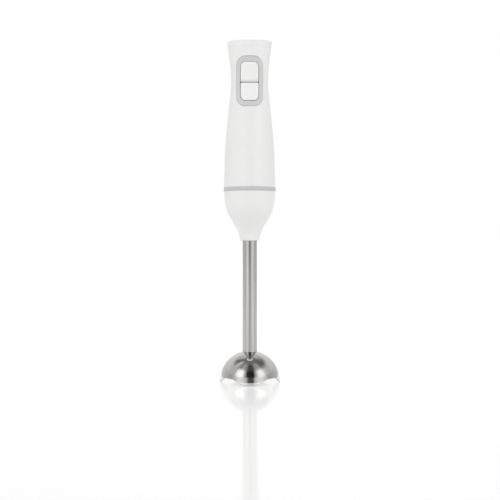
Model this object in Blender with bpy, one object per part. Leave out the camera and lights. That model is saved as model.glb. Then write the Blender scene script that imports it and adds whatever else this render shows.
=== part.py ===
"""Immersion blender: a motor handle with two speed buttons and a twist-off steel blending foot.

Lengths are written in millimetres and turned into metres when a mesh is made. The origin is on the
floor under the shaft axis, +Z runs up the shaft, and the buttons face -Y.
"""
import math

import bmesh
import bpy
import numpy as np
from mathutils import Vector

MM = 0.001
GAP = 0.3                    # clearance between neighbouring pieces
SIDES = 32                   # sides of the outer round pieces
INNER_SIDES = 20             # sides of the round pieces inside
FACET_TURN = 0.11            # turns a bar's facets off its neighbours' edges, in radians
SEAM_Z = 208.0               # where the handle meets its grey ring: it sets the foot's length

# Handle outline: (height above the seam, radius) stations of the smooth outer curve, mouth to top
OUTLINE = [(-56.5, 10.7), (-50.0, 11.7), (-43.0, 14.6), (-36.0, 18.7), (-29.0, 22.9), (-22.0, 25.6),
           (-14.0, 26.8), (0.0, 27.4), (17.0, 27.0), (39.0, 26.25), (58.0, 24.95), (77.0, 23.1),
           (90.0, 21.7), (101.0, 20.4), (112.0, 19.97), (125.0, 20.35), (138.0, 21.7), (150.0, 23.4),
           (156.3, 23.9)]
CONE_MOUTH_Z, TOP_Z = SEAM_Z + OUTLINE[0][0], SEAM_Z + OUTLINE[-1][0]
TOP_CORNER = 2.0             # radius of the top edge
TOP_SLOPE, TOP_SLOPE_Y = 0.12, -1.6   # in front of this y the top slopes down towards the buttons
FLAT_DEPTH = 2.2             # how far the front is flattened behind the buttons
FLAT_START_Z, FLAT_FULL_Z = SEAM_Z + 76.0, SEAM_Z + 104.0
FLAT_SHARPNESS = 30          # the higher, the tighter the shoulders beside the flat

# Handle shells, cap and ring
WALL = 2.2
RING_HEIGHT, RING_PROUD = 3.9, 0.45
RING_LOW_Z = SEAM_Z - RING_HEIGHT
CAP_SEAM_Z = SEAM_Z + 148.0
SPIGOT_WALL, SPIGOT_DEPTH = 1.6, 5.0
GLAND_Y, GLAND_R, GLAND_BORE_R = 5.0, 6.2, 3.6
VENT_COUNT, VENT_PITCH, VENT_HEIGHT, VENT_HALF_WIDTH, VENT_Z = 6, 5.0, 2.2, 9.0, SEAM_Z + 14.0

# Buttons: a surround with two buttons in one opening
BUTTON_HALF_WIDTH, BUTTON_LOW_Z, BUTTON_HIGH_Z = 9.35, SEAM_Z + 90.7, SEAM_Z + 131.2
BUTTON_SPLIT_Z, BUTTON_SPLIT_GAP = SEAM_Z + 110.0, 1.2
BUTTON_ROUND_R, BUTTON_TIGHT_R = 5.2, 0.9
BUTTON_PROUD, BUTTON_EDGE, BUTTON_BEVEL = 0.9, 0.2, 0.9
BUTTON_SKIN, BUTTON_WALL, BUTTON_LIP, BUTTON_LIP_THICK = 1.8, 1.3, 1.2, 1.0
BUTTON_CLEARANCE, STEM_R = 0.4, 1.9
SURROUND_SIDE, SURROUND_END = 4.8, 6.2   # the surround's width beside and beyond the buttons
SURROUND_HALF_WIDTH = BUTTON_HALF_WIDTH + SURROUND_SIDE
SURROUND_LOW_Z, SURROUND_HIGH_Z = BUTTON_LOW_Z - SURROUND_END, BUTTON_HIGH_Z + SURROUND_END
SURROUND_R = BUTTON_ROUND_R + SURROUND_SIDE - GAP
SURROUND_PROUD, SURROUND_THICK = 0.25, 2.4

# Motor
CAN_R, CAN_WALL, CAN_LOW_Z, CAN_HIGH_Z = 19.5, 1.4, SEAM_Z + 30.3, SEAM_Z + 74.0
MAGNET_THICK, MAGNET_ARC, MAGNET_LENGTH = 2.1, 128.0, 34.0
AIR_GAP, ARMATURE_LENGTH, ARMATURE_SLOTS = 0.5, 26.0, 12
ARMATURE_R = CAN_R - CAN_WALL - GAP - MAGNET_THICK - AIR_GAP
ARMATURE_Z = SEAM_Z + 51.0
WINDING_R, WINDING_HEIGHT = ARMATURE_R - 1.8, 6.2
BRACKET_R, BRACKET_LOW_Z, BRACKET_THICK = CAN_R + 2.5, SEAM_Z + 26.6, 3.0
LOWER_BEARING_R, UPPER_BEARING_R, BEARING_WIDTH = 8.0, 5.5, 5.0
BRUSH_CAP_R, BRUSH_CAP_HIGH_Z, BRUSH_CAP_WALL = CAN_R - 3.0, CAN_HIGH_Z + 15.0, 1.6
COMMUTATOR_R, COMMUTATOR_LOW_Z, COMMUTATOR_LENGTH = 6.0, CAN_HIGH_Z + 1.5, 6.4
BRUSH_WIDTH, BRUSH_HEIGHT, BRUSH_SPRING_LENGTH = 4.0, 4.4, 2.6
MOTOR_SHAFT_R, MOTOR_SHAFT_LOW_Z, MOTOR_SHAFT_HIGH_Z = 2.5, SEAM_Z - 5.5, BRUSH_CAP_HIGH_Z + 0.5
DAMPER_HEIGHT = 5.5
FAN_R, FAN_LOW_Z, FAN_HEIGHT, FAN_DISC, FAN_HUB_R, FAN_BLADES = 19.0, SEAM_Z + 16.4, 7.6, 1.4, 6.0, 9

# Switch board, behind the buttons
BOARD_Y, BOARD_THICK, BOARD_HALF_WIDTH = -4.6, 1.6, 13.0
BOARD_LOW_Z, BOARD_HIGH_Z = BRUSH_CAP_HIGH_Z + 1.3, SEAM_Z + 142.5
CARRIER_THICK, CARRIER_RAIL = 3.0, 3.2
SWITCH_WIDTH, SWITCH_HEIGHT, SWITCH_DEPTH = 12.8, 6.5, 6.5
PLUNGER_R, PLUNGER_OUT, PLUNGER_IN, PLUNGER_HOLE = 1.2, 2.6, 1.0, 3.6
BUTTON_SPRING_R, BUTTON_SPRING_WIRE, BUTTON_SPRING_TURNS = 3.4, 0.35, 3.5
SCREW_R, SCREW_HEAD_R, SCREW_HEAD = 1.2, 2.5, 1.8

# Twist lock between handle and foot
COLLAR_R, COLLAR_WALL, COLLAR_HIGH_Z = 20.0, 2.4, SEAM_Z + 8.5
COLLAR_BORE_R = COLLAR_R - COLLAR_WALL
LOCK_CLEARANCE, LUG_REACH = 0.4, 2.0
SOCKET_BORE_R, SOCKET_HIGH_Z = COLLAR_R + LOCK_CLEARANCE, SEAM_Z + 13.0
LUG_R, LUG_LOW_Z, LUG_HEIGHT, LUG_ARC, LUG_COUNT = COLLAR_R + LUG_REACH, SEAM_Z + 2.8, 3.0, 14.0, 3
LUG_FIRST, LOCK_TURN = 31.3, 26.0   # degrees: the first lug's place, and locked to released
COUPLING_R, DOG_INNER_R, DOG_ARC, DOG_HEIGHT = 12.0, 6.5, 40.0, 7.0
DOG_LEAD = 50.0              # the driven dogs sit this far round from the driving ones
COUPLING_DISC, COUPLING_LOW_Z, COUPLING_HUB, COUPLING_HUB_R = 3.0, SEAM_Z - 18.0, 3.5, 5.2

# Foot
CONE_WALL = 2.0
TUBE_R, TUBE_WALL, TUBE_SEAT_Z = 8.0, 0.9, SEAM_Z - 38.0
HOUSING_FLOOR_Z, HOUSING_CUP_Z = SEAM_Z - 30.0, SEAM_Z - 22.0
BELL_R, BELL_WALL, BELL_CENTRE_Z = 32.5, 1.0, 1.1
BELL_TOP_Z = BELL_CENTRE_Z + BELL_R
BELL_LOBES, BELL_ARCH = 4, 6.4
BELL_STEPS, BELL_ROWS = 48, 6
LOBE_FLAT, ARCH_GAIN = 0.1, 1.2   # the wave is cut off at its tips, so that the lobes have flat feet
DRIVE_SHAFT_R, DRIVE_SHAFT_HIGH_Z = 2.9, COUPLING_LOW_Z + 2.0
BUSH_WALL, BUSH_LENGTH, BUSH_PROUD = 1.8, 10.0, 1.5
BUSH_R = DRIVE_SHAFT_R + GAP + BUSH_WALL
HUB_FLANGE_R, HUB_BORE_R = TUBE_R + 2.4, BUSH_R + GAP
HUB_LOW_Z, HUB_HIGH_Z = BELL_TOP_Z - 9.6, BELL_TOP_Z + 10.4
SEAL_HEIGHT, WASHER_R, WASHER_THICK = 5.0, BUSH_R + 1.4, 0.8
BLADE_R, BLADE_Z, BLADE_THICK, BLADE_HUB_R = BELL_R - 8.0, HUB_LOW_Z - 10.0, 1.4, DRIVE_SHAFT_R + 3.1
BLADE_RISE, BLADE_ROOT_WIDTH, BLADE_TIP_WIDTH = 3.6, 11.0, 7.5
BLADE_COLLAR_R, NUT_R, CLIP_R = DRIVE_SHAFT_R + 1.4, DRIVE_SHAFT_R + 1.7, DRIVE_SHAFT_R + 2.5
DRIVE_SHAFT_LOW_Z, NUT_LOW_Z = BLADE_Z - 4.2, BLADE_Z - 5.4


# ---- Materials ----------------------------------------------------------------------------------

def plain_material(name, colour, roughness, metallic=0.0):
    """A Principled material of one colour."""
    material = bpy.data.materials.new(name)
    material.use_nodes = True
    shader = material.node_tree.nodes["Principled BSDF"]
    shader.inputs["Base Color"].default_value = (*colour, 1.0)
    shader.inputs["Roughness"].default_value = roughness
    shader.inputs["Metallic"].default_value = metallic
    return material


def make_materials():
    """Every material of the blender, by name."""
    return {
        "white_plastic": plain_material("white_plastic", (0.83, 0.83, 0.83), 0.35),
        "grey_plastic": plain_material("grey_plastic", (0.52, 0.52, 0.53), 0.45),
        "inner_plastic": plain_material("inner_plastic", (0.06, 0.06, 0.065), 0.5),
        "stainless": plain_material("stainless", (0.62, 0.61, 0.60), 0.14, 1.0),
        "steel": plain_material("steel", (0.45, 0.45, 0.46), 0.35, 1.0),
        "zinc_steel": plain_material("zinc_steel", (0.55, 0.55, 0.57), 0.4, 1.0),
        "bronze": plain_material("bronze", (0.48, 0.31, 0.15), 0.45, 1.0),
        "copper": plain_material("copper", (0.60, 0.25, 0.12), 0.35, 1.0),
        "rubber": plain_material("rubber", (0.03, 0.03, 0.03), 0.8),
        "magnet": plain_material("magnet", (0.05, 0.05, 0.055), 0.6),
        "carbon": plain_material("carbon", (0.02, 0.02, 0.02), 0.7),
        "board": plain_material("board", (0.03, 0.16, 0.06), 0.4),
    }


# ---- Mesh helpers -------------------------------------------------------------------------------

def add_object(name, verts, faces, material, origin=(0, 0, 0)):
    """An object from points in millimetres; its origin sits at the given point."""
    origin = np.array(origin, float)
    mesh = bpy.data.meshes.new(name)
    mesh.from_pydata(((np.array(verts, float) - origin) * MM).tolist(), [], faces)
    work = bmesh.new()
    work.from_mesh(mesh)
    bmesh.ops.recalc_face_normals(work, faces=work.faces)
    if work.calc_volume(signed=True) < 0:
        bmesh.ops.reverse_faces(work, faces=work.faces)
    work.to_mesh(mesh)
    work.free()
    mesh.shade_smooth()
    mesh.set_sharp_from_angle(angle=math.radians(30))
    obj = bpy.data.objects.new(name, mesh)
    obj.location = Vector(origin * MM)
    bpy.context.scene.collection.objects.link(obj)
    if material:
        mesh.materials.append(material)
    return obj


def ring_solid(name, rings, material, closed=False, origin=(0, 0, 0)):
    """A solid from rings of points, each bridged to the next. The last meets the first if closed,
    and otherwise each end ring is capped by one face."""
    count, steps = len(rings), len(rings[0])
    verts = [tuple(p) for ring in rings for p in ring]
    faces = []
    for k in range(count if closed else count - 1):
        a, b = k * steps, (k + 1) % count * steps
        for i in range(steps):
            j = (i + 1) % steps
            faces.append((a + i, a + j, b + j, b + i))
    if not closed:
        for start in (0, (count - 1) * steps):
            faces.append(tuple(range(start, start + steps)))
    return add_object(name, verts, faces, material, origin)


def circle(radius, z, steps=SIDES, centre=(0.0, 0.0), turn=0.0):
    """A level ring of points."""
    angles = np.arange(steps) / steps * 2 * np.pi + turn
    return np.column_stack([centre[0] + radius * np.cos(angles),
                            centre[1] + radius * np.sin(angles), np.full(steps, z)])


def turned(name, profile, material, steps=INNER_SIDES, closed=True, centre=(0.0, 0.0)):
    """A turned piece: (radius, z) corners, swept about the axis. A closed profile leaves a bore."""
    rings = [circle(r, z, steps, centre) for r, z in profile]
    return ring_solid(name, rings, material, closed, origin=(centre[0], centre[1], 0))


def tube_piece(name, outer, bore, low, high, material, steps=INNER_SIDES, centre=(0.0, 0.0)):
    """A plain ring or tube standing on end."""
    return turned(name, [(outer, high), (outer, low), (bore, low), (bore, high)], material, steps,
                  centre=centre)


def box(name, low, high, material, origin=(0, 0, 0)):
    """A rectangular block between two corners."""
    (x0, y0, z0), (x1, y1, z1) = low, high
    rings = [[(x0, y0, z), (x1, y0, z), (x1, y1, z), (x0, y1, z)] for z in (z0, z1)]
    return ring_solid(name, rings, material, origin=origin)


def cylinder_along(name, start, axis, length, radius, material, steps=16, origin=(0, 0, 0)):
    """A round bar from a start point along +X, +Y or +Z."""
    return turned_along(name, start, axis, [(radius, 0.0), (radius, length)], material, steps, origin)


def turned_along(name, start, axis, profile, material, steps=16, origin=(0, 0, 0), closed=False):
    """A turned piece whose axis runs from a start point along a direction."""
    turn = Vector((0, 0, 1)).rotation_difference(Vector(axis)).to_matrix()
    rings = []
    for radius, height in profile:
        ring = circle(radius, height, steps, turn=FACET_TURN)
        rings.append(ring @ np.array(turn).T + np.array(start))
    return ring_solid(name, rings, material, closed, origin)


def sector(inner, outer, low, high, middle, arc, steps=5):
    """Rings of a block cut from a tube wall: an arc of the wall about a middle angle, in degrees."""
    angles = np.radians(middle + np.linspace(-arc / 2, arc / 2, steps))
    rings = []
    for angle in angles:
        along = np.array([math.cos(angle), math.sin(angle)])
        rings.append([(*(along * r), z) for r, z in
                      ((inner, low), (outer, low), (outer, high), (inner, high))])
    return rings


def boolean(target, cutter, operation="DIFFERENCE"):
    """Cuts with, or joins, another object, which the model then leaves out."""
    step = target.modifiers.new(cutter.name, "BOOLEAN")
    step.object = cutter
    step.operation = operation
    step.solver = "EXACT"
    cutter.hide_render = True
    cutter.display_type = "WIRE"
    cutter.data.materials.clear()


def spring(name, start, axis, length, radius, wire, turns, material, steps=10, sides=5):
    """A coil spring: a round wire swept along a helix, with the coil's axis along a direction."""
    count = int(turns * steps) + 1
    angle = np.linspace(0, turns * 2 * np.pi, count)
    climb = np.linspace(wire, length - wire, count)
    rings = []
    for a, h in zip(angle, climb):
        out = np.array([math.cos(a), math.sin(a), 0.0])
        up = np.array([0.0, 0.0, 1.0])
        around = np.arange(sides) / sides * 2 * np.pi
        rings.append(out * radius + up * h + wire * (np.outer(np.cos(around), out)
                                                   + np.outer(np.sin(around), up)))
    turn = np.array(Vector((0, 0, 1)).rotation_difference(Vector(axis)).to_matrix())
    rings = [ring @ turn.T + np.array(start) for ring in rings]
    return ring_solid(name, rings, material)


# ---- The handle's outer surface -----------------------------------------------------------------

def natural_spline(stations):
    """Heights, radii and second derivatives of the natural cubic spline through the stations."""
    z, r = np.array(stations).T
    z = z + SEAM_Z
    step = np.diff(z)
    count = len(z)
    matrix, right = np.eye(count), np.zeros(count)
    for i in range(1, count - 1):
        matrix[i, i - 1:i + 2] = step[i - 1], 2 * (step[i - 1] + step[i]), step[i]
        right[i] = 6 * ((r[i + 1] - r[i]) / step[i] - (r[i] - r[i - 1]) / step[i - 1])
    return z, r, np.linalg.solve(matrix, right)


SPLINE = natural_spline(OUTLINE)


def outline_radius(height):
    """The handle's radius at a height, with the top edge rounded."""
    z, r, bend = SPLINE
    i = int(np.clip(np.searchsorted(z, height) - 1, 0, len(z) - 2))
    step = z[i + 1] - z[i]
    a, b = (z[i + 1] - height) / step, (height - z[i]) / step
    radius = a * r[i] + b * r[i + 1] + ((a ** 3 - a) * bend[i] + (b ** 3 - b) * bend[i + 1]) * step ** 2 / 6
    over = height - (TOP_Z - TOP_CORNER)
    if over > 0:
        radius -= TOP_CORNER - math.sqrt(max(TOP_CORNER ** 2 - over ** 2, 0.0))
    return radius


def flat_at(height):
    """How deep the front is flattened at a height, eased in with a smooth step."""
    t = float(np.clip((height - FLAT_START_Z) / (FLAT_FULL_Z - FLAT_START_Z), 0, 1))
    return FLAT_DEPTH * t * t * (3 - 2 * t)


def section(height, inset, angles):
    """Points round the handle at a height and at angles in radians, inset from the surface."""
    radius = outline_radius(height) - inset
    front = np.maximum(-np.sin(angles), 0.0)
    flat_radius = radius - flat_at(height)
    power = FLAT_SHARPNESS
    flattened = (1 / radius ** power + (front / flat_radius) ** power) ** (-1 / power)
    blend = min(flat_at(height) / 0.2, 1.0)
    radial = radius + (flattened - radius) * blend
    return np.column_stack([radial * np.cos(angles), radial * np.sin(angles),
                            np.full(len(angles), height)])


def full_section(height, inset, steps=SIDES):
    """A whole ring of the handle's surface."""
    return section(height, inset, np.arange(steps) / steps * 2 * np.pi)


def front_y(x, height, inset):
    """Where the handle's front surface is, at a sideways place and a height."""
    angles = np.radians(np.linspace(180.0, 360.0, 361))
    points = section(height, inset, angles)
    return float(np.interp(x, points[:, 0], points[:, 1]))


def heights_between(low, high, step):
    """Even heights from low to high, no further apart than a step."""
    return np.linspace(low, high, max(2, math.ceil((high - low) / step) + 1))


# ---- Handle -------------------------------------------------------------------------------------

def half_shell(name, side, material):
    """Half of the handle's shell: side -1 is the front, +1 the rear."""
    heights = heights_between(SEAM_Z + GAP, CAP_SEAM_Z, 10.0)
    half_gap = GAP / 2
    rings = []
    for height in heights:
        outer, inner = [], []
        for inset, points in ((0.0, outer), (WALL, inner)):
            radius = outline_radius(height) - inset
            start = math.asin(half_gap / radius)
            angles = np.linspace(start, math.pi - start, SIDES // 2 + 1) * side
            points.extend(section(height, inset, angles))
        rings.append(outer + inner[::-1])
    count, steps = len(rings), len(rings[0])
    verts = [tuple(p) for ring in rings for p in ring]
    faces = [(a * steps + i, a * steps + (i + 1) % steps, (a + 1) * steps + (i + 1) % steps,
              (a + 1) * steps + i) for a in range(count - 1) for i in range(steps)]
    half = steps // 2
    for a in (0, count - 1):
        for i in range(half - 1):
            faces.append((a * steps + i, a * steps + i + 1, a * steps + steps - 2 - i,
                          a * steps + steps - 1 - i))
    return add_object(name, verts, faces, material)


def rounded_outline(half_width, low, high, low_r, high_r, steps=5):
    """(x, z) points of an upright rounded rectangle, the same count for every size."""
    low_x, high_x = half_width - low_r, half_width - high_r
    corners = ((low_x, low + low_r, low_r, -90), (high_x, high - high_r, high_r, 0),
               (-high_x, high - high_r, high_r, 90), (-low_x, low + low_r, low_r, 180))
    arcs = []
    for cx, cz, radius, start in corners:
        angles = np.radians(np.linspace(start, start + 90, steps))
        arcs.append(np.column_stack([cx + radius * np.cos(angles), cz + radius * np.sin(angles)]))
    points = []
    for arc, following in zip(arcs, arcs[1:] + arcs[:1]):
        points.extend(arc)
        points.extend(arc[-1] + (following[0] - arc[-1]) * t for t in (0.25, 0.5, 0.75))
    return points


def draped(outline, inset):
    """An outline laid on the handle's front, sunk below the surface by an inset."""
    return [(x, front_y(x, z, inset), z) for x, z in outline]


def surround_outline(spread):
    """The button surround's outer edge, moved outwards by a spread."""
    return rounded_outline(SURROUND_HALF_WIDTH + spread, SURROUND_LOW_Z - spread, SURROUND_HIGH_Z + spread,
                           SURROUND_R + spread, SURROUND_R + spread)


def opening_outline(spread):
    """The opening that both buttons share, in the middle of the surround."""
    return rounded_outline(BUTTON_HALF_WIDTH + spread, BUTTON_LOW_Z - spread, BUTTON_HIGH_Z + spread,
                           BUTTON_ROUND_R + spread, BUTTON_ROUND_R + spread)


def make_handle_shells(materials):
    """The two shells: the front one is cut for the button surround, the rear one for air slots."""
    front = half_shell("front_shell", -1, materials["white_plastic"])
    cut = surround_outline(GAP)
    rings = [[(x, y, z) for x, z in cut] for y in (-40.0, -6.0)]
    boolean(front, ring_solid("surround_cut", rings, None))
    rear = half_shell("rear_shell", 1, materials["white_plastic"])
    for k in range(VENT_COUNT):
        low = VENT_Z + k * VENT_PITCH
        slot = box(f"vent_cut_{k + 1}", (-VENT_HALF_WIDTH, 15.0, low),
                   (VENT_HALF_WIDTH, 40.0, low + VENT_HEIGHT), None)
        boolean(rear, slot)


def sloped(ring):
    """A ring of the top, lowered in front, so that the top slopes down towards the buttons."""
    lowered = ring.copy()
    lowered[:, 2] -= TOP_SLOPE * np.maximum(TOP_SLOPE_Y - ring[:, 1], 0.0)
    return lowered


def make_top_cap(materials):
    """The cap closes the top of the shells, and its spigot reaches down inside them."""
    corner = [TOP_Z - TOP_CORNER * (1 - math.sin(t)) for t in np.radians((0, 30, 60, 90))]
    outer = [full_section(z, 0.0) for z in (CAP_SEAM_Z + GAP, CAP_SEAM_Z + 3.0)]
    outer += [sloped(full_section(z, 0.0)) for z in corner]
    spigot_outer = WALL + GAP
    inner = spigot_outer + SPIGOT_WALL
    low = CAP_SEAM_Z - SPIGOT_DEPTH
    roof = TOP_Z - WALL
    angle = np.arange(SIDES) / SIDES * 2 * np.pi
    bore = [np.column_stack([(GLAND_R + GAP) * np.cos(angle), GLAND_Y + (GLAND_R + GAP) * np.sin(angle),
                             np.full(SIDES, z)]) for z in (TOP_Z, roof)]
    under = [sloped(full_section(roof, inner + 1.0)), full_section(low, inner),
             full_section(low, spigot_outer), full_section(CAP_SEAM_Z + GAP, spigot_outer)]
    ring_solid("top_cap", outer + bore + under, materials["white_plastic"], closed=True)


def make_cord_gland(materials):
    """A rubber grommet flush with the top, with an open bore for the cord."""
    flange_r, flange_low, flange_high = GLAND_R + 1.8, TOP_Z - WALL - 2.3, TOP_Z - WALL - GAP
    profile = [(GLAND_BORE_R, TOP_Z - 0.3), (GLAND_R - 0.6, TOP_Z - 0.3), (GLAND_R, TOP_Z - 0.9),
               (GLAND_R, flange_high), (flange_r, flange_high), (flange_r, flange_low),
               (GLAND_R - 0.8, flange_low - 2.0), (GLAND_BORE_R, flange_low - 2.0)]
    turned("cord_gland", profile, materials["rubber"], centre=(0.0, GLAND_Y))


def switch_front():
    """The y of the microswitches' front faces."""
    return BOARD_Y - GAP - SWITCH_DEPTH


def stem_end():
    """The y where a button's stem stops, just short of the plunger."""
    return switch_front() - PLUNGER_OUT - GAP


def skirt_end():
    """The y where a button's skirt and its keeper lip stop."""
    return stem_end() + 0.2


def make_button_surround(materials):
    """The frame round the buttons, laid on the handle's front."""
    edge, opening = surround_outline(0.0), opening_outline(BUTTON_CLEARANCE)
    inner_edge = surround_outline(-0.8)
    lip_front = skirt_end() - BUTTON_LIP_THICK - GAP
    back = [(x, min(y, lip_front), z) for x, y, z in draped(opening, SURROUND_THICK)]
    rings = [draped(edge, 0.15), draped(inner_edge, -SURROUND_PROUD), draped(opening, -SURROUND_PROUD + 0.35),
             back, draped(edge, SURROUND_THICK)]
    ring_solid("button_surround", rings, materials["grey_plastic"], closed=True)


def button_parts():
    """(number, low, high, low corner radius, high corner radius) of the upper and the lower button."""
    half = BUTTON_SPLIT_GAP / 2
    return [("low", BUTTON_SPLIT_Z + half, BUTTON_HIGH_Z, BUTTON_TIGHT_R, BUTTON_ROUND_R),
            ("high", BUTTON_LOW_Z, BUTTON_SPLIT_Z - half, BUTTON_ROUND_R, BUTTON_TIGHT_R)]


def make_button(speed, low, high, low_r, high_r, material):
    """One hollow button: a domed face, a skirt with a keeper lip, and a stem for the plunger."""
    middle = (low + high) / 2

    def shape(shrink, lip=0.0):
        up = lip if speed == "low" else 0.0
        down = lip if speed == "high" else 0.0
        return rounded_outline(BUTTON_HALF_WIDTH - shrink, low + shrink - down, high - shrink + up,
                               max(low_r - shrink, 0.4), max(high_r - shrink, 0.4))

    def level(outline, y):
        return [(x, y, z) for x, z in outline]

    roof = front_y(0.0, middle, 0.0) + BUTTON_SKIN
    outline = shape(0.0)
    centre = np.array([0.0, middle])
    around = [math.atan2(z - centre[1], x) for x, z in outline]
    stem = [(STEM_R * math.cos(a), middle + STEM_R * math.sin(a)) for a in around]
    lip_front = skirt_end() - BUTTON_LIP_THICK
    rings = [level(stem, stem_end()), level(stem, roof), level(shape(BUTTON_WALL), roof),
             level(shape(BUTTON_WALL), skirt_end()), level(shape(0.0, BUTTON_LIP), skirt_end()),
             level(shape(0.0, BUTTON_LIP), lip_front), level(outline, lip_front),
             draped(outline, -BUTTON_EDGE),
             draped(shape(BUTTON_BEVEL), -BUTTON_PROUD + 0.15), draped(shape(3.5), -BUTTON_PROUD)]
    ring_solid(f"button_{speed}", rings, material, origin=(0.0, 0.0, middle))


def make_controls(materials):
    """Buttons, return springs, plungers and microswitches, one set for each speed."""
    for speed, low, high, low_r, high_r in button_parts():
        middle = (low + high) / 2
        make_button(speed, low, high, low_r, high_r, materials["white_plastic"])
        face = switch_front()
        roof = front_y(0.0, middle, 0.0) + BUTTON_SKIN
        spring(f"button_spring_{speed}", (0.0, roof + GAP, middle), (0, 1, 0), face - roof - 2 * GAP,
               BUTTON_SPRING_R, BUTTON_SPRING_WIRE, BUTTON_SPRING_TURNS, materials["steel"], 8, 4)
        cylinder_along(f"plunger_{speed}", (0.0, face - PLUNGER_OUT, middle), (0, 1, 0),
                       PLUNGER_OUT + PLUNGER_IN, PLUNGER_R, materials["grey_plastic"],
                       origin=(0.0, 0.0, middle))
        profile = [(PLUNGER_R + GAP, 0.0), (PLUNGER_R + GAP, PLUNGER_HOLE)]
        hole = turned_along(f"plunger_hole_{speed}", (0.0, face - 0.5, middle), (0, 1, 0),
                            [(r, h * 1.15) for r, h in profile], None)
        half_w, half_h = SWITCH_WIDTH / 2, SWITCH_HEIGHT / 2
        body = box(f"microswitch_{speed}", (-half_w, face, middle - half_h),
                   (half_w, BOARD_Y - GAP, middle + half_h), materials["inner_plastic"])
        boolean(body, hole)


def make_switch_board(materials):
    """The board that carries the switches, its carrier frame, its screws and its components."""
    back = BOARD_Y + BOARD_THICK
    board = box("switch_board", (-BOARD_HALF_WIDTH, BOARD_Y, BOARD_LOW_Z),
                (BOARD_HALF_WIDTH, back, BOARD_HIGH_Z), materials["board"])
    front, rear = back + GAP, back + GAP + CARRIER_THICK
    outer = rounded_outline(BOARD_HALF_WIDTH + 1.0, BOARD_LOW_Z, BOARD_HIGH_Z - 2.0, 2.0, 2.0)
    window = rounded_outline(BOARD_HALF_WIDTH - CARRIER_RAIL, BOARD_LOW_Z + 7.0, BOARD_HIGH_Z - 9.0, 2.0, 2.0)
    rings = [[(x, y, z) for x, z in shape] for shape, y in
             ((outer, front), (window, front), (window, rear), (outer, rear))]
    carrier = ring_solid("board_carrier", rings, materials["inner_plastic"], closed=True)
    for place, z in (("lower", BOARD_LOW_Z + 3.0), ("upper", BOARD_HIGH_Z - 5.5)):
        head = BOARD_Y - GAP - SCREW_HEAD
        profile = [(SCREW_HEAD_R, 0.0), (SCREW_HEAD_R, SCREW_HEAD), (SCREW_R, SCREW_HEAD),
                   (SCREW_R, SCREW_HEAD + GAP + BOARD_THICK + 2.2)]
        turned_along(f"board_screw_{place}", (0.0, head, z), (0, 1, 0), profile, materials["zinc_steel"], 12)
        hole = cylinder_along(f"screw_hole_{place}", (0.0, BOARD_Y - 1.0, z), (0, 1, 0),
                              BOARD_THICK + CARRIER_THICK + 4.0, SCREW_R + GAP, None, 14)
        boolean(board, hole)
        boolean(carrier, hole)
    half = BOARD_HALF_WIDTH - CARRIER_RAIL - 1.5
    middle = (BOARD_LOW_Z + BOARD_HIGH_Z) / 2
    box("rectifier", (-half, front, middle - 15.0), (half, front + 4.5, middle - 7.0),
        materials["inner_plastic"])
    box("capacitor", (-half, front, middle - 4.0), (half, front + 9.0, middle + 12.0),
        materials["grey_plastic"])


def make_trim_ring(materials):
    """The grey ring between the handle and the foot, standing slightly proud."""
    proud = outline_radius(SEAM_Z) + RING_PROUD
    profile = [(proud - 0.4, SEAM_Z), (proud, SEAM_Z - 0.5), (proud, RING_LOW_Z + 0.5),
               (proud - 0.4, RING_LOW_Z), (SOCKET_BORE_R, RING_LOW_Z), (SOCKET_BORE_R, SEAM_Z)]
    turned("trim_ring", profile, materials["grey_plastic"], SIDES)


def make_bayonet_socket(materials):
    """The ring inside the handle that holds the foot, with an L-shaped slot for each lug."""
    outer = outline_radius(SOCKET_HIGH_Z) - WALL - GAP
    low = SEAM_Z + GAP
    socket = tube_piece("bayonet_socket", outer, SOCKET_BORE_R, low, SOCKET_HIGH_Z,
                        materials["inner_plastic"], SIDES)
    reach = LUG_R + GAP
    for k in range(LUG_COUNT):
        locked = 360.0 / LUG_COUNT * k + LUG_FIRST
        arc = LUG_ARC + LOCK_TURN + 2.0
        groove = sector(SOCKET_BORE_R - 1.5, reach, LUG_LOW_Z - GAP, LUG_LOW_Z + LUG_HEIGHT + GAP,
                        locked + LOCK_TURN / 2, arc, 7)
        boolean(socket, ring_solid(f"lug_groove_{k + 1}", groove, None))
        entry = sector(SOCKET_BORE_R - 1.5, reach, low - 1.0, LUG_LOW_Z + 0.5,
                       locked + LOCK_TURN, LUG_ARC + 2.0)
        boolean(socket, ring_solid(f"lug_entry_{k + 1}", entry, None))


# ---- Motor --------------------------------------------------------------------------------------

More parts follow.
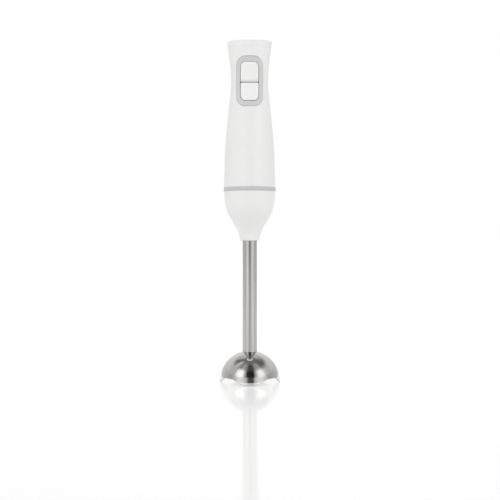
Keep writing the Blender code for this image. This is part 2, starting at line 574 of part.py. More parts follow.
def make_motor_case(materials):
    """The motor's can, magnets, bracket, brush cap, bearings, dampers and screws."""
    steel, plastic = materials["zinc_steel"], materials["inner_plastic"]
    inner = CAN_R - CAN_WALL
    hole = COMMUTATOR_R + 2.0
    turned("motor_can", [(CAN_R, CAN_HIGH_Z), (CAN_R, CAN_LOW_Z), (inner, CAN_LOW_Z),
                         (inner, CAN_HIGH_Z - CAN_WALL), (hole, CAN_HIGH_Z - CAN_WALL), (hole, CAN_HIGH_Z)],
           steel)
    for name, angle in (("left", 180.0), ("right", 0.0)):
        rings = sector(inner - GAP - MAGNET_THICK, inner - GAP, ARMATURE_Z - MAGNET_LENGTH / 2,
                       ARMATURE_Z + MAGNET_LENGTH / 2, angle, MAGNET_ARC, 13)
        ring_solid(f"magnet_{name}", rings, materials["magnet"])
    bracket = tube_piece("motor_bracket", BRACKET_R, LOWER_BEARING_R + GAP, BRACKET_LOW_Z,
                         BRACKET_LOW_Z + BRACKET_THICK, plastic)
    for name, side in (("left", -1), ("right", 1)):
        x = side * (BRACKET_R - 6.0)
        top = BRACKET_LOW_Z + BRACKET_THICK + 2.0
        hole = cylinder_along(f"bracket_hole_{name}", (x, 0.0, BRACKET_LOW_Z - 1.0), (0, 0, 1), 6.0,
                              SCREW_R + GAP, None, 14)
        boolean(bracket, hole)
        low = BRACKET_LOW_Z - GAP - SCREW_HEAD
        turned_along(f"bracket_screw_{name}", (x, 0.0, low), (0, 0, 1),
                     [(SCREW_HEAD_R, 0.0), (SCREW_HEAD_R, SCREW_HEAD), (SCREW_R, SCREW_HEAD),
                      (SCREW_R, top - low)], materials["zinc_steel"], 12)
    for k in range(6):
        middle = 31.7 + 60.0 * k
        window = sector(10.5, 18.0, BRACKET_LOW_Z - 1.0, BRACKET_LOW_Z + BRACKET_THICK + 1.0, middle, 26.0)
        boolean(bracket, ring_solid(f"bracket_window_{k + 1}", window, None))
    middle = BRACKET_LOW_Z + BRACKET_THICK / 2
    tube_piece("lower_bearing", LOWER_BEARING_R, MOTOR_SHAFT_R + GAP, middle - BEARING_WIDTH / 2,
               middle + BEARING_WIDTH / 2, materials["steel"])
    make_brush_gear(materials)
    for name, low in (("lower", CAN_LOW_Z + 2.0), ("upper", CAN_HIGH_Z - 5.0 - DAMPER_HEIGHT)):
        reach = min(outline_radius(low), outline_radius(low + DAMPER_HEIGHT)) - WALL - GAP
        tube_piece(f"motor_damper_{name}", reach, CAN_R + GAP, low, low + DAMPER_HEIGHT,
                   materials["rubber"])


def make_brush_gear(materials):
    """The cap over the commutator, with the upper bearing, two brushes and their springs."""
    low = CAN_HIGH_Z + GAP
    wall, top = BRUSH_CAP_WALL, BRUSH_CAP_HIGH_Z
    seat = UPPER_BEARING_R + GAP
    profile = [(BRUSH_CAP_R, low), (BRUSH_CAP_R - wall, low), (BRUSH_CAP_R - wall, top - wall - 4.0),
               (seat + wall, top - wall - 4.0), (seat + wall, top - wall - 5.0), (seat, top - wall - 5.0),
               (seat, top), (seat + wall, top), (BRUSH_CAP_R, top - 4.0)]
    turned("brush_cap", profile, materials["inner_plastic"])
    bearing_low = top - BEARING_WIDTH - 0.6
    tube_piece("upper_bearing", UPPER_BEARING_R, MOTOR_SHAFT_R + GAP, bearing_low,
               bearing_low + BEARING_WIDTH, materials["steel"])
    middle = COMMUTATOR_LOW_Z + COMMUTATOR_LENGTH / 2 - 0.4
    half_w, half_h = BRUSH_WIDTH / 2, BRUSH_HEIGHT / 2
    face = COMMUTATOR_R + GAP
    back = BRUSH_CAP_R - wall - 2 * GAP - BRUSH_SPRING_LENGTH
    for name, side in (("left", -1), ("right", 1)):
        ends = sorted((side * face, side * back))
        box(f"brush_{name}", (ends[0], -half_w, middle - half_h), (ends[1], half_w, middle + half_h),
            materials["carbon"])
        spring(f"brush_spring_{name}", (side * (back + GAP), 0.0, middle), (side, 0, 0),
               BRUSH_SPRING_LENGTH, 1.5, 0.28, 2.5, materials["steel"], 8, 4)


def armature_outline():
    """The laminations' outline: teeth with narrow slot mouths, in polar steps."""
    points = []
    tooth = 360.0 / ARMATURE_SLOTS
    root = ARMATURE_R * 0.55
    for k in range(ARMATURE_SLOTS):
        for share, radius in ((0.06, ARMATURE_R), (0.5, ARMATURE_R), (0.94, ARMATURE_R),
                              (0.94, ARMATURE_R - 1.4), (0.72, ARMATURE_R - 2.4), (0.66, root),
                              (1.34, root), (1.28, ARMATURE_R - 2.4), (1.06, ARMATURE_R - 1.4)):
            angle = math.radians((k + share) * tooth)
            points.append((radius * math.cos(angle), radius * math.sin(angle)))
    return points


def make_rotor(materials):
    """Everything that turns with the motor shaft."""
    steel = materials["steel"]
    cylinder_along("motor_shaft", (0, 0, MOTOR_SHAFT_LOW_Z), (0, 0, 1),
                   MOTOR_SHAFT_HIGH_Z - MOTOR_SHAFT_LOW_Z, MOTOR_SHAFT_R, steel, 20)
    low = ARMATURE_Z - ARMATURE_LENGTH / 2
    high = low + ARMATURE_LENGTH
    outline = armature_outline()
    armature = ring_solid("armature", [[(x, y, z) for x, y in outline] for z in (low, high)], steel)
    bore = cylinder_along("armature_bore", (0, 0, low - 1.0), (0, 0, 1), ARMATURE_LENGTH + 2.0,
                          MOTOR_SHAFT_R + GAP, None, 20)
    boolean(armature, bore)
    for name, start, way in (("lower", low - GAP, -1), ("upper", high + GAP, 1)):
        end = start + way * WINDING_HEIGHT
        profile = [(MOTOR_SHAFT_R + 1.2, start), (WINDING_R, start), (WINDING_R, start + way * 3.0),
                   (WINDING_R - 2.2, end), (MOTOR_SHAFT_R + 1.2, end)]
        turned(f"winding_{name}", profile, materials["copper"])
    tube_piece("commutator", COMMUTATOR_R, MOTOR_SHAFT_R + GAP, COMMUTATOR_LOW_Z,
               COMMUTATOR_LOW_Z + COMMUTATOR_LENGTH, materials["copper"])
    make_fan(materials["inner_plastic"])
    make_coupling("coupling_upper", upper=True, materials=materials)


def make_fan(material):
    """The cooling fan: a disc on a hub, with straight vanes standing on the disc."""
    bore, top = MOTOR_SHAFT_R + GAP, FAN_LOW_Z + FAN_HEIGHT
    disc_top = FAN_LOW_Z + FAN_DISC
    fan = turned("cooling_fan", [(bore, FAN_LOW_Z), (FAN_R, FAN_LOW_Z), (FAN_R, disc_top),
                                 (FAN_HUB_R, disc_top), (FAN_HUB_R, top), (bore, top)], material)
    for k in range(FAN_BLADES):
        vane = box(f"fan_vane_{k + 1}", (FAN_HUB_R - 1.0, -0.6, FAN_LOW_Z + FAN_DISC / 2),
                   (FAN_R - 1.0, 0.6, top - 0.6), None)
        vane.rotation_euler.z = 2 * math.pi * k / FAN_BLADES + 0.03
        boolean(fan, vane, "UNION")


def make_coupling(name, upper, materials):
    """Half of the dog coupling: a disc on a hub, with two dogs that reach between the other's dogs."""
    meeting = COUPLING_LOW_Z + COUPLING_DISC
    way = 1 if upper else -1
    face = meeting + DOG_HEIGHT + 1.0 if upper else meeting
    back, hub_end = face + way * COUPLING_DISC, face + way * (COUPLING_DISC + COUPLING_HUB)
    bore = (MOTOR_SHAFT_R if upper else DRIVE_SHAFT_R) + GAP
    turn = 90.0 if upper else 90.0 + DOG_LEAD
    half = turned(name, [(bore, face), (COUPLING_R, face), (COUPLING_R, back), (COUPLING_HUB_R, back),
                         (COUPLING_HUB_R, hub_end), (bore, hub_end)], materials["inner_plastic"])
    low, high = sorted((face + way * 0.8, face - way * DOG_HEIGHT))
    for k, side in enumerate((0.0, 180.0)):
        dog = ring_solid(f"{name}_dog_{k + 1}",
                         sector(DOG_INNER_R, COUPLING_R - 0.6, low, high, turn + side, DOG_ARC), None)
        boolean(half, dog, "UNION")


# ---- Foot ---------------------------------------------------------------------------------------

def make_foot_cone(materials):
    """The white cone under the grey ring; the shaft tube leaves through its mouth."""
    high = RING_LOW_Z - GAP
    heights = heights_between(CONE_MOUTH_Z, high, 6.6)
    outer = [(outline_radius(z), z) for z in heights[::-1]]
    mouth = TUBE_R + GAP
    inner = [(max(outline_radius(z) - CONE_WALL, mouth), z) for z in heights]
    turned("foot_cone", outer + inner, materials["white_plastic"], SIDES)


def make_coupling_housing(materials):
    """The core inside the cone: it grips the tube, holds the upper bush and carries the lugs."""
    high = RING_LOW_Z - GAP
    rim_z = high - 4.5
    seat = TUBE_R + GAP
    bore = BUSH_R + GAP
    flange = outline_radius(rim_z) - CONE_WALL - GAP
    neck_z = CONE_MOUTH_Z + 9.0
    neck = min(outline_radius(neck_z) - CONE_WALL - GAP, TUBE_R + GAP + 1.0)
    cup_wall = COLLAR_R - COLLAR_BORE_R
    slope = outline_radius(HOUSING_FLOOR_Z) - CONE_WALL - GAP - 2.0
    profile = [(COLLAR_R, COLLAR_HIGH_Z), (COLLAR_R, high), (flange, high), (flange, rim_z),
               (COLLAR_BORE_R + cup_wall, rim_z), (COLLAR_BORE_R + cup_wall, HOUSING_CUP_Z + 1.0),
               (slope * 0.72, HOUSING_FLOOR_Z - 2.0), (seat + 2.2, TUBE_SEAT_Z), (neck, neck_z),
               (seat, neck_z), (seat, TUBE_SEAT_Z), (bore, TUBE_SEAT_Z), (bore, HOUSING_FLOOR_Z),
               (COLLAR_BORE_R - 5.0, HOUSING_FLOOR_Z), (COLLAR_BORE_R, HOUSING_CUP_Z),
               (COLLAR_BORE_R, COLLAR_HIGH_Z)]
    housing = turned("coupling_housing", profile, materials["inner_plastic"])
    for k in range(LUG_COUNT):
        rings = sector(COLLAR_R - 1.0, LUG_R, LUG_LOW_Z, LUG_LOW_Z + LUG_HEIGHT,
                       360.0 / LUG_COUNT * k + LUG_FIRST, LUG_ARC)
        boolean(housing, ring_solid(f"lug_{k + 1}", rings, None), "UNION")


def rim_height(angle):
    """The bell's wavy rim: flat-footed lobes to the front, back and sides, arches between them."""
    wave = 0.5 - 0.5 * math.cos(BELL_LOBES * angle)
    return BELL_ARCH * min(max(wave * ARCH_GAIN - LOBE_FLAT, 0.0), 1.0)


def make_blade_guard(materials):
    """The bell: a thin half ball with a hole for the tube and a rim of four lobes."""
    hole = TUBE_R + GAP
    angles = np.arange(BELL_STEPS) / BELL_STEPS * 2 * np.pi
    rings = []
    for inset, shares in ((0.0, np.linspace(0, 1, BELL_ROWS)), (BELL_WALL, np.linspace(1, 0, BELL_ROWS))):
        radius = BELL_R - inset
        start = math.asin(hole / radius)
        for share in shares:
            ring = []
            for angle in angles:
                end = math.acos((rim_height(angle) - BELL_CENTRE_Z) / radius)
                down = start + (end - start) * share
                out = radius * math.sin(down)
                ring.append((out * math.cos(angle), out * math.sin(angle),
                             BELL_CENTRE_Z + radius * math.cos(down)))
            rings.append(ring)
    ring_solid("blade_guard", rings, materials["stainless"], closed=True)


def make_foot_inside(materials):
    """Tube, hub, bushes, seal and washer: the still parts that the drive shaft runs in."""
    flange_top = BELL_CENTRE_Z + math.sqrt((BELL_R - BELL_WALL) ** 2 - HUB_FLANGE_R ** 2) - GAP
    tube_piece("shaft_tube", TUBE_R, TUBE_R - TUBE_WALL, flange_top + GAP, TUBE_SEAT_Z - GAP,
               materials["stainless"], SIDES)
    spigot = TUBE_R - TUBE_WALL - GAP
    turned("seal_hub", [(spigot, HUB_HIGH_Z), (spigot, flange_top), (HUB_FLANGE_R, flange_top),
                        (HUB_FLANGE_R, HUB_LOW_Z + 1.5), (HUB_FLANGE_R - 1.5, HUB_LOW_Z),
                        (HUB_BORE_R, HUB_LOW_Z), (HUB_BORE_R, HUB_HIGH_Z)], materials["inner_plastic"])
    bore = DRIVE_SHAFT_R + GAP
    seal_low = HUB_LOW_Z + 0.8
    turned("shaft_seal", [(BUSH_R, seal_low + SEAL_HEIGHT), (BUSH_R, seal_low), (bore + 0.9, seal_low),
                          (bore, seal_low + 0.8), (bore, seal_low + SEAL_HEIGHT)], materials["rubber"])
    lower = seal_low + SEAL_HEIGHT + GAP
    tube_piece("lower_bush", BUSH_R, bore, lower, lower + BUSH_LENGTH, materials["bronze"])
    upper = HOUSING_FLOOR_Z - BUSH_LENGTH + BUSH_PROUD
    tube_piece("upper_bush", BUSH_R, bore, upper, upper + BUSH_LENGTH, materials["bronze"])
    washer = upper + BUSH_LENGTH + GAP
    tube_piece("thrust_washer", WASHER_R, bore, washer, washer + WASHER_THICK, materials["zinc_steel"])


def blade_wing(side, material):
    """Half of the blade: it leaves the hub level, then bends up (side +1) or down (side -1)."""
    rings = []
    for share in (0.0, 0.25, 0.5, 0.75, 1.0):
        out = BLADE_HUB_R - 2.0 + (BLADE_R - BLADE_HUB_R + 2.0) * share
        lift = BLADE_RISE * side * max(share - 0.2, 0.0) / 0.8
        width = BLADE_ROOT_WIDTH + (BLADE_TIP_WIDTH - BLADE_ROOT_WIDTH) * share
        sweep = -side * 3.0 * share ** 2
        edge = 0.5 + 0.5 * BLADE_THICK
        z = BLADE_Z + lift
        lead, trail = sweep + side * width / 2, sweep - side * width / 2
        rings.append([(side * out, trail, z - BLADE_THICK / 2), (side * out, trail, z + BLADE_THICK / 2),
                      (side * out, lead - side * 2.4, z + BLADE_THICK / 2),
                      (side * out, lead, z - BLADE_THICK / 2 + edge * 0.3),
                      (side * out, lead, z - BLADE_THICK / 2)])
    return ring_solid(f"blade_wing_{'up' if side > 0 else 'down'}", rings, material)


def make_driven_shaft(materials):
    """Drive shaft, lower coupling half, retaining clip, and the blade with its collar and nut."""
    cylinder_along("drive_shaft", (0, 0, DRIVE_SHAFT_LOW_Z), (0, 0, 1),
                   DRIVE_SHAFT_HIGH_Z - DRIVE_SHAFT_LOW_Z, DRIVE_SHAFT_R, materials["steel"], 20)
    make_coupling("coupling_lower", upper=False, materials=materials)
    clip_low = HOUSING_FLOOR_Z + BUSH_PROUD + WASHER_THICK + 2 * GAP
    tube_piece("retaining_clip", CLIP_R, DRIVE_SHAFT_R + GAP, clip_low, clip_low + WASHER_THICK,
               materials["steel"])
    bore = DRIVE_SHAFT_R + GAP
    hub_low, hub_high = BLADE_Z - BLADE_THICK / 2, BLADE_Z + BLADE_THICK / 2
    tube_piece("blade_collar", BLADE_COLLAR_R, bore, hub_high + GAP, HUB_LOW_Z - GAP, materials["steel"])
    blade = tube_piece("blade", BLADE_HUB_R, bore, hub_low, hub_high, materials["stainless"])
    hole = cylinder_along("blade_bore", (0, 0, hub_low - 5.0), (0, 0, 1), 10.0, bore, None, 24)
    for side in (1, -1):
        boolean(blade, blade_wing(side, None), "UNION")
    boolean(blade, hole)
    turned("blade_nut", [(bore, hub_low - GAP), (NUT_R, hub_low - GAP), (NUT_R, NUT_LOW_Z + 1.6),
                         (bore + 0.3, NUT_LOW_Z)], materials["steel"])


def clear_scene():
    """Removes whatever objects the file already holds."""
    for obj in list(bpy.data.objects):
        bpy.data.objects.remove(obj, do_unlink=True)


def build():
    """The whole blender, piece by piece."""
    clear_scene()
    materials = make_materials()
    make_handle_shells(materials)
    make_top_cap(materials)
    make_cord_gland(materials)
    make_button_surround(materials)
    make_controls(materials)
    make_switch_board(materials)
    make_trim_ring(materials)
    make_bayonet_socket(materials)
    make_motor_case(materials)
    make_rotor(materials)
    make_foot_cone(materials)
    make_coupling_housing(materials)
    make_blade_guard(materials)
    make_foot_inside(materials)
    make_driven_shaft(materials)


build()
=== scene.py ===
# %% [markdown]
# # An immersion blender, dressed over its engineering model
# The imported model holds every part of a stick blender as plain, coarse solids. This lesson lays finished
# surfaces over the parts that show, gives every part a material made from nodes, and lights the result.
# The first cell loads the model; it never moves, so every surface here is worked out in its coordinates.

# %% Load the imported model
import bmesh
import bpy
import numpy as np
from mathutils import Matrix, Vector


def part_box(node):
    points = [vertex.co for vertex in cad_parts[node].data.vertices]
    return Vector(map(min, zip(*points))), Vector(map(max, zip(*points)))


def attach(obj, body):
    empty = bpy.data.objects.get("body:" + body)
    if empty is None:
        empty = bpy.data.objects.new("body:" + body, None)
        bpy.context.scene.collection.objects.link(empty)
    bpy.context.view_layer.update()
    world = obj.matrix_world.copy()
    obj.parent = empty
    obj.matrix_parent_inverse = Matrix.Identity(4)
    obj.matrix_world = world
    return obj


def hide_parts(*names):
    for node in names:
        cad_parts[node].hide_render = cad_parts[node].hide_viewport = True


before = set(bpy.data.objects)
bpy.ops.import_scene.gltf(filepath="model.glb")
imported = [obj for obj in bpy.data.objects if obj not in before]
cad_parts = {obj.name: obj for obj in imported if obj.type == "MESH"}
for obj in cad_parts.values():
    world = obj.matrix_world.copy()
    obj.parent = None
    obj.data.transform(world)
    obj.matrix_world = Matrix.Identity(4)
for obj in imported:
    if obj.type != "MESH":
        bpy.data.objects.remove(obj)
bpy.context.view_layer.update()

# %% [markdown]
# ## Sizes
# Lengths are thought of in millimetres and turned into metres only when a mesh is made. A few come straight
# from the model's boxes; the others are the sizes the solids were drawn with, named once and used below.

# %% Sizes in millimetres
MM = 0.001


def box_mm(node):
    """The lowest and the highest corner of a solid, in millimetres."""
    return [np.array(corner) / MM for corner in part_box(node)]


SEAM_Z = box_mm("trim_ring")[1][2]
RING_LOW_Z = box_mm("trim_ring")[0][2]
TOP_Z = box_mm("top_cap")[1][2]
TUBE_R = box_mm("shaft_tube")[1][0]
TUBE_LOW_Z, TUBE_HIGH_Z = box_mm("shaft_tube")[0][2], box_mm("shaft_tube")[1][2]
CONE_MOUTH_Z = box_mm("foot_cone")[0][2]
GAP = 0.3                    # clearance between neighbouring parts
HAIRLINE = 0.06              # the closed joints above and below the ring
WALL, CONE_WALL, TUBE_WALL = 2.2, 2.0, 0.9
CAP_SEAM_Z = SEAM_Z + 148.0
print(f"seam {SEAM_Z:.1f}, top {TOP_Z:.1f}, tube radius {TUBE_R:.2f}, mouth {CONE_MOUTH_Z:.1f}")

# %% [markdown]
# ## The handle's outline
# The handle is a moulded grip: widest at the seam, narrow at the waist where the fingers close, and flared at
# the top. It could be drawn by hand with Bezier handles. A natural cubic spline through a few stations is
# chosen instead: it is the smoothest curve through them, and works on a whole array of heights at once.

# %% Outline spline
STATIONS = np.array([(-56.5, 10.7), (-50.0, 11.7), (-43.0, 14.6), (-36.0, 18.7), (-29.0, 22.9), (-22.0, 25.6),
                     (-14.0, 26.8), (0.0, 27.4), (17.0, 27.0), (39.0, 26.25), (58.0, 24.95), (77.0, 23.1),
                     (90.0, 21.7), (101.0, 20.4), (112.0, 19.97), (125.0, 20.35), (138.0, 21.7),
                     (150.0, 23.4), (156.3, 23.9)])     # height above the seam, radius
TOP_CORNER = 2.0             # radius of the top edge


def spline_bends(z, r):
    """Second derivatives of the natural spline: each inner station gives one row of the linear system
    step_before b[i-1] + 2 (step_before + step_after) b[i] + step_after b[i+1] = 6 (change of slope)."""
    step = np.diff(z)
    slope = np.diff(r) / step
    matrix = np.diag(np.r_[1.0, 2 * (step[:-1] + step[1:]), 1.0])
    matrix += np.diag(np.r_[0.0, step[1:]], 1) + np.diag(np.r_[step[:-1], 0.0], -1)
    return np.linalg.solve(matrix, np.r_[0.0, 6 * np.diff(slope), 0.0])


STATION_Z, STATION_R = STATIONS[:, 0] + SEAM_Z, STATIONS[:, 1]
STATION_BENDS = spline_bends(STATION_Z, STATION_R)


def outline_radius(height):
    """Radius at a height: the straight blend a r0 + b r1 of the two nearest stations, plus
    ((a^3 - a) bend0 + (b^3 - b) bend1) step^2 / 6, less the quarter circle that rounds the top edge."""
    height = np.asarray(height, float)
    i = np.clip(np.searchsorted(STATION_Z, height) - 1, 0, len(STATION_Z) - 2)
    step = STATION_Z[i + 1] - STATION_Z[i]
    a, b = (STATION_Z[i + 1] - height) / step, (height - STATION_Z[i]) / step
    radius = a * STATION_R[i] + b * STATION_R[i + 1] + (
        (a ** 3 - a) * STATION_BENDS[i] + (b ** 3 - b) * STATION_BENDS[i + 1]) * step ** 2 / 6
    over = np.clip(height - (TOP_Z - TOP_CORNER), 0, TOP_CORNER)
    return radius - (TOP_CORNER - np.sqrt(TOP_CORNER ** 2 - over ** 2))


print("waist radius", round(float(outline_radius(np.linspace(300, 340, 200)).min()), 2))

# %% [markdown]
# ## The flattened front
# Behind the buttons the round grip is planed down a little, so that thumbs find a flat. Cutting a flat with a
# Boolean would leave a hard edge. Here the circle and the flat are melted together with a high power mean,
# which leaves two soft shoulders that catch the light, and the flat is eased in over the grip's height.

# %% Handle surface
FLAT_DEPTH, FLAT_SHARPNESS = 2.2, 30
FLAT_START_Z, FLAT_FULL_Z = SEAM_Z + 76.0, SEAM_Z + 104.0


def smooth_step(share):
    """0 to 1 with level ends: 3 s^2 - 2 s^3."""
    share = np.clip(share, 0, 1)
    return share * share * (3 - 2 * share)


def handle_point(height, angle, inset=0.0):
    """A point of the handle: radius r at this height, front = -sin(angle) where positive, flat distance f.
    Flattened radius = (r^-p + (front / f)^p)^(-1/p), blended in as the flat grows from nothing."""
    height, angle, inset = np.broadcast_arrays(*map(np.asarray, (height, angle, inset)))
    radius = outline_radius(height) - inset
    depth = FLAT_DEPTH * smooth_step((height - FLAT_START_Z) / (FLAT_FULL_Z - FLAT_START_Z))
    front = np.maximum(-np.sin(angle), 0.0)
    power = FLAT_SHARPNESS
    flattened = ((1 / radius) ** power + (front / (radius - depth)) ** power) ** (-1 / power)
    radial = radius + (flattened - radius) * np.minimum(depth / 0.2, 1.0)
    return np.stack([radial * np.cos(angle), radial * np.sin(angle), height], -1)


def front_angle(x, height, inset=0.0):
    """The angle at which the front passes a sideways place x, by halving: x grows from 180 to 360 degrees."""
    x, height, inset = np.broadcast_arrays(*map(np.asarray, (x, height, inset)))
    low, high = np.full(x.shape, np.pi), np.full(x.shape, 2 * np.pi)
    for _ in range(34):
        middle = (low + high) / 2
        beyond = handle_point(height, middle, inset)[..., 0] > x
        low, high = np.where(beyond, low, middle), np.where(beyond, middle, high)
    return (low + high) / 2


def draped(outline, inset):
    """An (x, z) outline laid on the front, sunk below the surface by an inset."""
    x, z = outline[..., 0], outline[..., 1]
    y = handle_point(z, front_angle(x, z, inset), inset)[..., 1]
    return np.stack([x, y, z], -1)


print("front of the flat at y =", round(float(handle_point(320.0, 1.5 * np.pi)[1]), 2))

# %% [markdown]
# ## From arrays to meshes
# Every piece is a grid of points: rows one way, columns the other. One helper numbers the quads of such a
# grid, one puts arrays into a mesh. Points that fall on each other are merged, which also closes poles and
# seams, and the faces are turned outwards.

# %% Mesh helpers
SMOOTH_BELOW = np.radians(38)


def grid_quads(rows, columns, wrap_rows=False, wrap_columns=False, first=0):
    """Quads of a grid numbered row by row; a wrapped direction joins its last line to its first."""
    r, c = np.meshgrid(np.arange(rows if wrap_rows else rows - 1),
                       np.arange(columns if wrap_columns else columns - 1), indexing="ij")
    r_next, c_next = (r + 1) % rows, (c + 1) % columns
    corners = (r * columns + c, r * columns + c_next, r_next * columns + c_next, r_next * columns + c)
    return np.stack(corners, -1).reshape(-1, 4) + first


def make_piece(name, points, quads, sheet=False):
    """An object from points in millimetres. A closed form's normals are recalculated and point outwards; a
    sheet keeps the side that faces away from the shaft axis."""
    mesh = bpy.data.meshes.new(name)
    mesh.from_pydata((np.asarray(points).reshape(-1, 3) * MM).tolist(), [], np.asarray(quads).tolist())
    work = bmesh.new()
    work.from_mesh(mesh)
    bmesh.ops.remove_doubles(work, verts=work.verts, dist=2e-6)
    bmesh.ops.recalc_face_normals(work, faces=work.faces)
    if sheet:
        outward = sum(f.normal.xy.dot(f.calc_center_median().xy) * f.calc_area() for f in work.faces)
    else:
        outward = work.calc_volume(signed=True)
    if outward < 0:
        bmesh.ops.reverse_faces(work, faces=work.faces)
    work.to_mesh(mesh)
    work.free()
    mesh.shade_smooth()
    mesh.set_sharp_from_angle(angle=SMOOTH_BELOW)
    piece = bpy.data.objects.new(name, mesh)
    bpy.context.scene.collection.objects.link(piece)
    return piece


def loft(name, rings, closed=True):
    """A piece from rings of points, each joined to the next, and the last to the first if closed."""
    rings = np.asarray(rings)
    return make_piece(name, rings, grid_quads(*rings.shape[:2], wrap_rows=closed, wrap_columns=True))


def eased(corners, reach, steps=5):
    """A closed profile with its corners eased: each corner C becomes the curve (1-t)^2 A + 2 t (1-t) C +
    t^2 B, where A and B lie a reach before and after it, at most 45% along its sides."""
    corners = np.array(corners, float)
    before, after = np.roll(corners, 1, 0) - corners, np.roll(corners, -1, 0) - corners
    reach = np.broadcast_to(np.asarray(reach, float), len(corners))
    ends = []
    for side in (before, after):
        length = np.linalg.norm(side, axis=1)
        ends.append(corners + side / length[:, None] * np.minimum(reach, 0.45 * length)[:, None])
    t = np.linspace(0, 1, steps)[None, :, None]
    curve = (1 - t) ** 2 * ends[0][:, None] + 2 * t * (1 - t) * corners[:, None] + t ** 2 * ends[1][:, None]
    return curve.reshape(-1, 2)


def turned(name, profile, columns=128, centre_y=0.0):
    """A turned piece: every (radius, z) of a closed profile is carried round the axis,
    x = radius cos(angle), y = radius sin(angle)."""
    radius, z = np.asarray(profile, float).T[:, :, None]
    angle = np.arange(columns) / columns * 2 * np.pi
    rings = np.stack(np.broadcast_arrays(radius * np.cos(angle), radius * np.sin(angle) + centre_y, z), -1)
    return loft(name, rings)


def settle(piece, body, slot, material, *nodes):
    """Rides a piece on its body, hides the solids it stands for, and gives it its material; the slot is not
    used.
    """
    piece.data.materials.append(material)
    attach(piece, body)
    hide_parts(*nodes)
    print(f"{piece.name}: {len(piece.data.polygons)} faces in {material.name}, on {body}")


# %% [markdown]
# ## Helpers for materials
# Every finish starts from the Principled shader. Colours are sRGB hex values, and one function turns them to
# linear. One helper adds a node of any kind. Patterns have real sizes: a noise of scale 1000 / s repeats
# about every s mm.

# %% Material helpers
def linear(hex_colour):
    """sRGB to linear: c / 12.92 below 0.04045, else ((c + 0.055) / 1.055)^2.4."""
    value = np.array([int(hex_colour[i:i + 2], 16) for i in (1, 3, 5)]) / 255
    return (*np.where(value <= 0.04045, value / 12.92, ((value + 0.055) / 1.055) ** 2.4).tolist(), 1.0)


def add_node(tree, kind, inputs, **settings):
    """One shader node. Inputs are keyed by name or place: a socket is linked, anything else is set."""
    made = tree.nodes.new("ShaderNode" + kind)
    for key, value in settings.items():
        setattr(made, key, value)
    for key, value in inputs.items():
        if isinstance(value, bpy.types.NodeSocket):
            tree.links.new(value, made.inputs[key])
        else:
            made.inputs[key].default_value = value
    return made


def every(size_mm):
    """The texture scale whose features come about every so many millimetres."""
    return 1.0 / (size_mm * MM)


def new_finish(name, roughness, metallic=0.0, **constants):
    """A Principled material with its constant sockets set, and the place of each point on the object."""
    material = bpy.data.materials.new(name)
    material.use_nodes = True
    tree = material.node_tree
    shader = tree.nodes["Principled BSDF"]
    shader.inputs["Roughness"].default_value = roughness
    shader.inputs["Metallic"].default_value = metallic
    for key, value in constants.items():
        shader.inputs[key.replace("_", " ")].default_value = value
    place = add_node(tree, "TexCoord", {}).outputs["Object"]
    return material, tree, shader, place


def tint(tree, shader, factor, dark, light, low=0.35, high=0.65):
    """Colour that runs from dark to light as a pattern's value goes from low to high."""
    ramp = add_node(tree, "ValToRGB", {"Fac": factor})
    for element, colour, at in zip(ramp.color_ramp.elements, (dark, light), (low, high)):
        element.color, element.position = linear(colour), at
    tree.links.new(ramp.outputs["Color"], shader.inputs["Base Color"])


def vary_roughness(tree, shader, factor, low, high):
    """Roughness that follows a pattern between two values."""
    spread = add_node(tree, "MapRange", {"Value": factor, "To Min": low, "To Max": high})
    tree.links.new(spread.outputs["Result"], shader.inputs["Roughness"])


def emboss(tree, shader, factor, depth_mm, strength=1.0):
    """Relief of a real depth from a pattern."""
    bump = add_node(tree, "Bump", {"Height": factor, "Distance": depth_mm * MM, "Strength": strength})
    tree.links.new(bump.outputs["Normal"], shader.inputs["Normal"])


# %% [markdown]
# ## Moulded ABS
# The shells, the cone and the buttons are injection-moulded ABS. The mould is polished, so the plastic is
# glossy but not a mirror: it has the slight ripple called orange peel, two or three millimetres across and
# only a few thousandths deep. The white is very slightly cloudy, and handling leaves the gloss uneven.

# %% White and grey ABS
ABS_IOR = 1.54


def moulded_abs(name, dark, light, roughness, peel_mm=2.6, peel_depth=0.004):
    """Moulded ABS: a cloudy colour, uneven gloss and a faint ripple."""
    material, tree, shader, place = new_finish(name, roughness, IOR=ABS_IOR)
    cloud = add_node(tree, "TexNoise", {"Vector": place, "Scale": every(34), "Detail": 2.0})
    peel = add_node(tree, "TexNoise", {"Vector": place, "Scale": every(peel_mm), "Detail": 1.5})
    tint(tree, shader, cloud.outputs["Fac"], dark, light)
    vary_roughness(tree, shader, cloud.outputs["Fac"], roughness - 0.03, roughness + 0.03)
    emboss(tree, shader, peel.outputs["Fac"], peel_depth)
    return material


SHELL_ABS = moulded_abs("glossy_white_abs", "#F1F1F0", "#F3F3F2", 0.26)
BUTTON_ABS = moulded_abs("button_white_abs", "#F5F5F4", "#F8F8F8", 0.26, peel_mm=1.8)
SURROUND_ABS = moulded_abs("satin_grey_abs", "#D1D1D1", "#D5D5D5", 0.4, peel_mm=0.9)
RING_ABS = moulded_abs("ring_grey_abs", "#C6C7C8", "#CACBCC", 0.45, peel_mm=0.9)
print("moulded plastics:", SHELL_ABS.name, BUTTON_ABS.name, SURROUND_ABS.name, RING_ABS.name)

# %% [markdown]
# ## Stainless steel
# The tube is drawn through a die, which leaves faint streaks along it, and then polished on a belt that runs
# round it. Those round lines smear reflections up and down and keep them sharp from side to side, which is
# what the anisotropic sockets do. The bell is spun and buffed on a lathe, so its lines run round the axis and
# it is almost a mirror. The blade is ground, and the wheel's lines run across it. Real lines are hundredths
# of a millimetre apart, too fine to show, so all are drawn coarser here.

